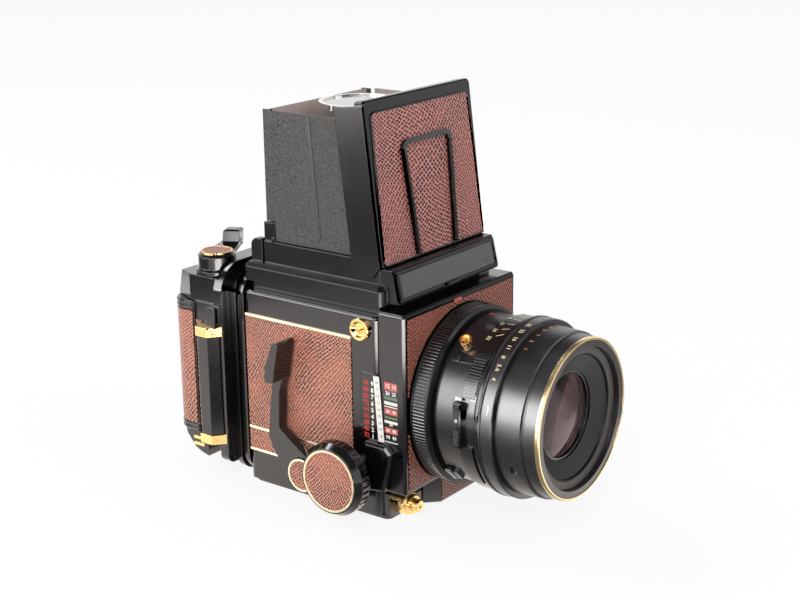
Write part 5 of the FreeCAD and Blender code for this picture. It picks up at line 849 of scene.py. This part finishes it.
STRIP_SLANT, STRIP_AT = 4.6, (-43.3, 63.9)
ROWS, ROW_TOP, ROW_STEP = 9, 77.2, 3.7
BANDS_AT, BAND_HALF = -50.9, 4.3
BANDS = (("scale_red_bands", PALE_RED_PRINT, ((80.1, 75.6), (65.5, 62.1), (54.8, 51.4))),
         ("scale_green_bands", GREEN_PRINT, ((72.2, 70.5), (61.0, 59.8))),
         ("scale_white_bands", WHITE_PRINT, ((69.4, 67.6), (66.8, 66.2), (58.7, 57.2),
                                             (46.9, 46.4))))
BAND_FIGURES = (("12", 2.2, -48.8, 77.9), ("15", 2.2, -53.0, 77.9), ("20", 2.1, -48.8, 73.9),
                ("25", 2.1, -53.0, 73.9), ("30", 1.7, -48.8, 63.8), ("40", 1.7, -53.0, 63.8),
                ("50", 1.6, -50.9, 56.5), ("60", 1.7, -48.8, 53.1), ("80", 1.7, -53.0, 53.1),
                ("90", 2.0, -48.8, 49.2), ("99", 2.0, -53.0, 49.2))


def body_scale():
    """The white strip and three columns of figures on the body."""
    strip = put(plaque(3.9, 36.4, 0.05, 0.22, 0.1),
                Matrix.Rotation(math.radians(STRIP_SLANT), 4, "Z"))
    settle(put(strip, on_right_side(*STRIP_AT, SCALE_PLATE)), "scale_white_strip",
           "camera_body", WHITE_PRINT)
    reds, whites, darks = [], [], []
    for row in range(ROWS):
        z = ROW_TOP - row * ROW_STEP
        reds.append(figure(str(96 - row * 8), 2.7, on_right_side(-34.9, z, SCALE_PLATE),
                           0.06, 0.16))
        whites.append(figure(str(9 - row), 2.5, on_right_side(-39.0, z, SCALE_PLATE), 0.06, 0.12))
        on_strip = on_right_side(-42.2 - row * 0.3, z + 1.4, SCALE_PLATE - 0.22)
        darks.append(figure(str(10 + row), 1.6, on_strip, 0.04, 0.02))
    settle(joined(reds), "scale_red_figures", "camera_body", RED_PRINT)
    settle(joined(whites), "scale_white_figures", "camera_body", WHITE_PRINT)
    settle(joined(darks), "scale_dark_figures", "camera_body", PLASTIC)


def standard_scale():
    """Printed bands, each between two heights, and the figures on and between them."""
    for name, material, heights in BANDS:
        rows = [put(plaque(BAND_HALF * 2, high - low, 0.05, 0.06),
                    on_right_side(BANDS_AT, (high + low) / 2, STANDARD_SIDE))
                for high, low in heights]
        settle(joined(rows), name, "standard", material)
    figures = [figure(text, high, on_right_side(y, z, STANDARD_SIDE - 0.06), 0.05, 0.08)
               for text, high, y, z in BAND_FIGURES]
    settle(joined(figures), "band_figures", "standard", WHITE_PRINT)


body_scale()
standard_scale()


# Film back

BAR_LOW, BAR_HIGH = (-65.5, 63.2), (-59.9, 77.4)    # the bar's section in X and Y
BAR_FRONT_CUT, BAR_REAR_CUT = 68.0, 75.6            # where its slanting faces start
BAR_FRONT_FACE, BAR_REAR_FACE = Vector((-0.62, -0.78, 0)), Vector((-0.5, 0.87, 0))
BAR_ENDS = (23.8, 86.8)
SLEEVE_GAP, SLEEVE_WALL = 0.16, 0.7
SLEEVES = ((22.6, 27.4, -1), (86.2, 91.0, 1))       # lower end, upper end and the closed one


def bar_prism(grow, low, high):
    """A length of the lock bar's section: a broad outer face between slanting ones."""
    prism = block((BAR_LOW[0] - grow, BAR_LOW[1] - grow, low),
                  (BAR_HIGH[0] + grow, BAR_HIGH[1] + grow, high))
    edge = BAR_LOW[0] - grow * 1.2
    cut(prism, (edge, BAR_FRONT_CUT - grow * 0.3, 0), BAR_FRONT_FACE)
    return cut(prism, (edge, BAR_REAR_CUT + grow * 0.4, 0), BAR_REAR_FACE)


def sleeve(low, high, closed):
    """A gold sleeve with one closed end, which guides the bar."""
    wall = bar_prism(SLEEVE_GAP, low, high)
    bpy.ops.object.mode_set(mode="EDIT")
    bpy.ops.mesh.select_all(action="DESELECT")
    bpy.ops.object.mode_set(mode="OBJECT")
    for face in wall.data.polygons:
        face.select = face.normal.z * closed < -0.9
    bpy.ops.object.mode_set(mode="EDIT")
    bpy.ops.mesh.delete(type="FACE")
    bpy.ops.object.mode_set(mode="OBJECT")
    finish_with(wall, "SOLIDIFY", thickness=SLEEVE_WALL * MM, offset=1, use_even_offset=True)
    return rounded_off(wall, 0.18, 2)


def back_fittings():
    """The sliding bar that locks the film back on, its two gold sleeves, and the side's trim."""
    bar = settle(rounded_off(bar_prism(0, *BAR_ENDS), 0.35, 3), "faceted_lock_bar", "back_lock",
                 ENAMEL)
    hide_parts("lock_bar")
    sleeves = settle(joined([sleeve(*ends) for ends in SLEEVES]), "faceted_lock_sleeves",
                     "film_back", GOLD)
    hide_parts("lock_brackets")
    settle(block((-58.5, 78.6, 28.0), (-57.9, 83.0, 92.6), 0.12), "holder_leather_strip",
           "film_back", SIDE_SKIN)
    strips = [block((-58.1, 82.0, foot), (-57.2, 90.0, foot + 1.8), 0.2) for foot in (18.6, 14.8)]
    settle(joined(strips), "foot_gold_strips", "film_back", GOLD)


back_fittings()


# Hood

LID_PIVOT, LID_LEAN, LID_FACE = (0, -39.5, 141.8), -7, 3.35
LID_OUTLINE = [(-45.4, -2.2), (45.4, -2.2), (42.5, 77.4), (-42.5, 77.4)]
FOLD_AT, FOLD_LEAN = (45.12, 3.67, 179.5), -5.05


def lid_bead():
    """Rounded lip of the lid round its leather."""
    on_lid = (Matrix.Translation([part * MM for part in LID_PIVOT])
              @ Matrix.Rotation(math.radians(LID_LEAN), 4, "X")
              @ Matrix(((1, 0, 0, 0), (0, 0, -1, -LID_FACE * MM), (0, 1, 0, 0), (0, 0, 0, 1))))
    settle(hoop(LID_OUTLINE, 0.55, 3.2, on_lid), "lid_lip", "lid", ENAMEL, 60)


def fold_shade_strips():
    """A black strip along the slanting fold of each leaf, as painted shade in the fold."""
    x, y, z = FOLD_AT
    turned = (Matrix.Rotation(math.radians(FOLD_LEAN), 4, "X")
              @ Matrix.Rotation(math.radians(90), 4, "Z"))
    for side, name, body in ((-1, "right_leaf_fold_shade", "leaf_right"),
                             (1, "left_leaf_fold_shade", "leaf_left")):
        strip = block((-1.3, -0.22, -32.0), (1.3, 0.22, 34.6), 0.15)
        put(strip, Matrix.Translation((side * x * MM, y * MM, z * MM)) @ turned)
        settle(strip, name, body, PLASTIC)


lid_bead()
fold_shade_strips()
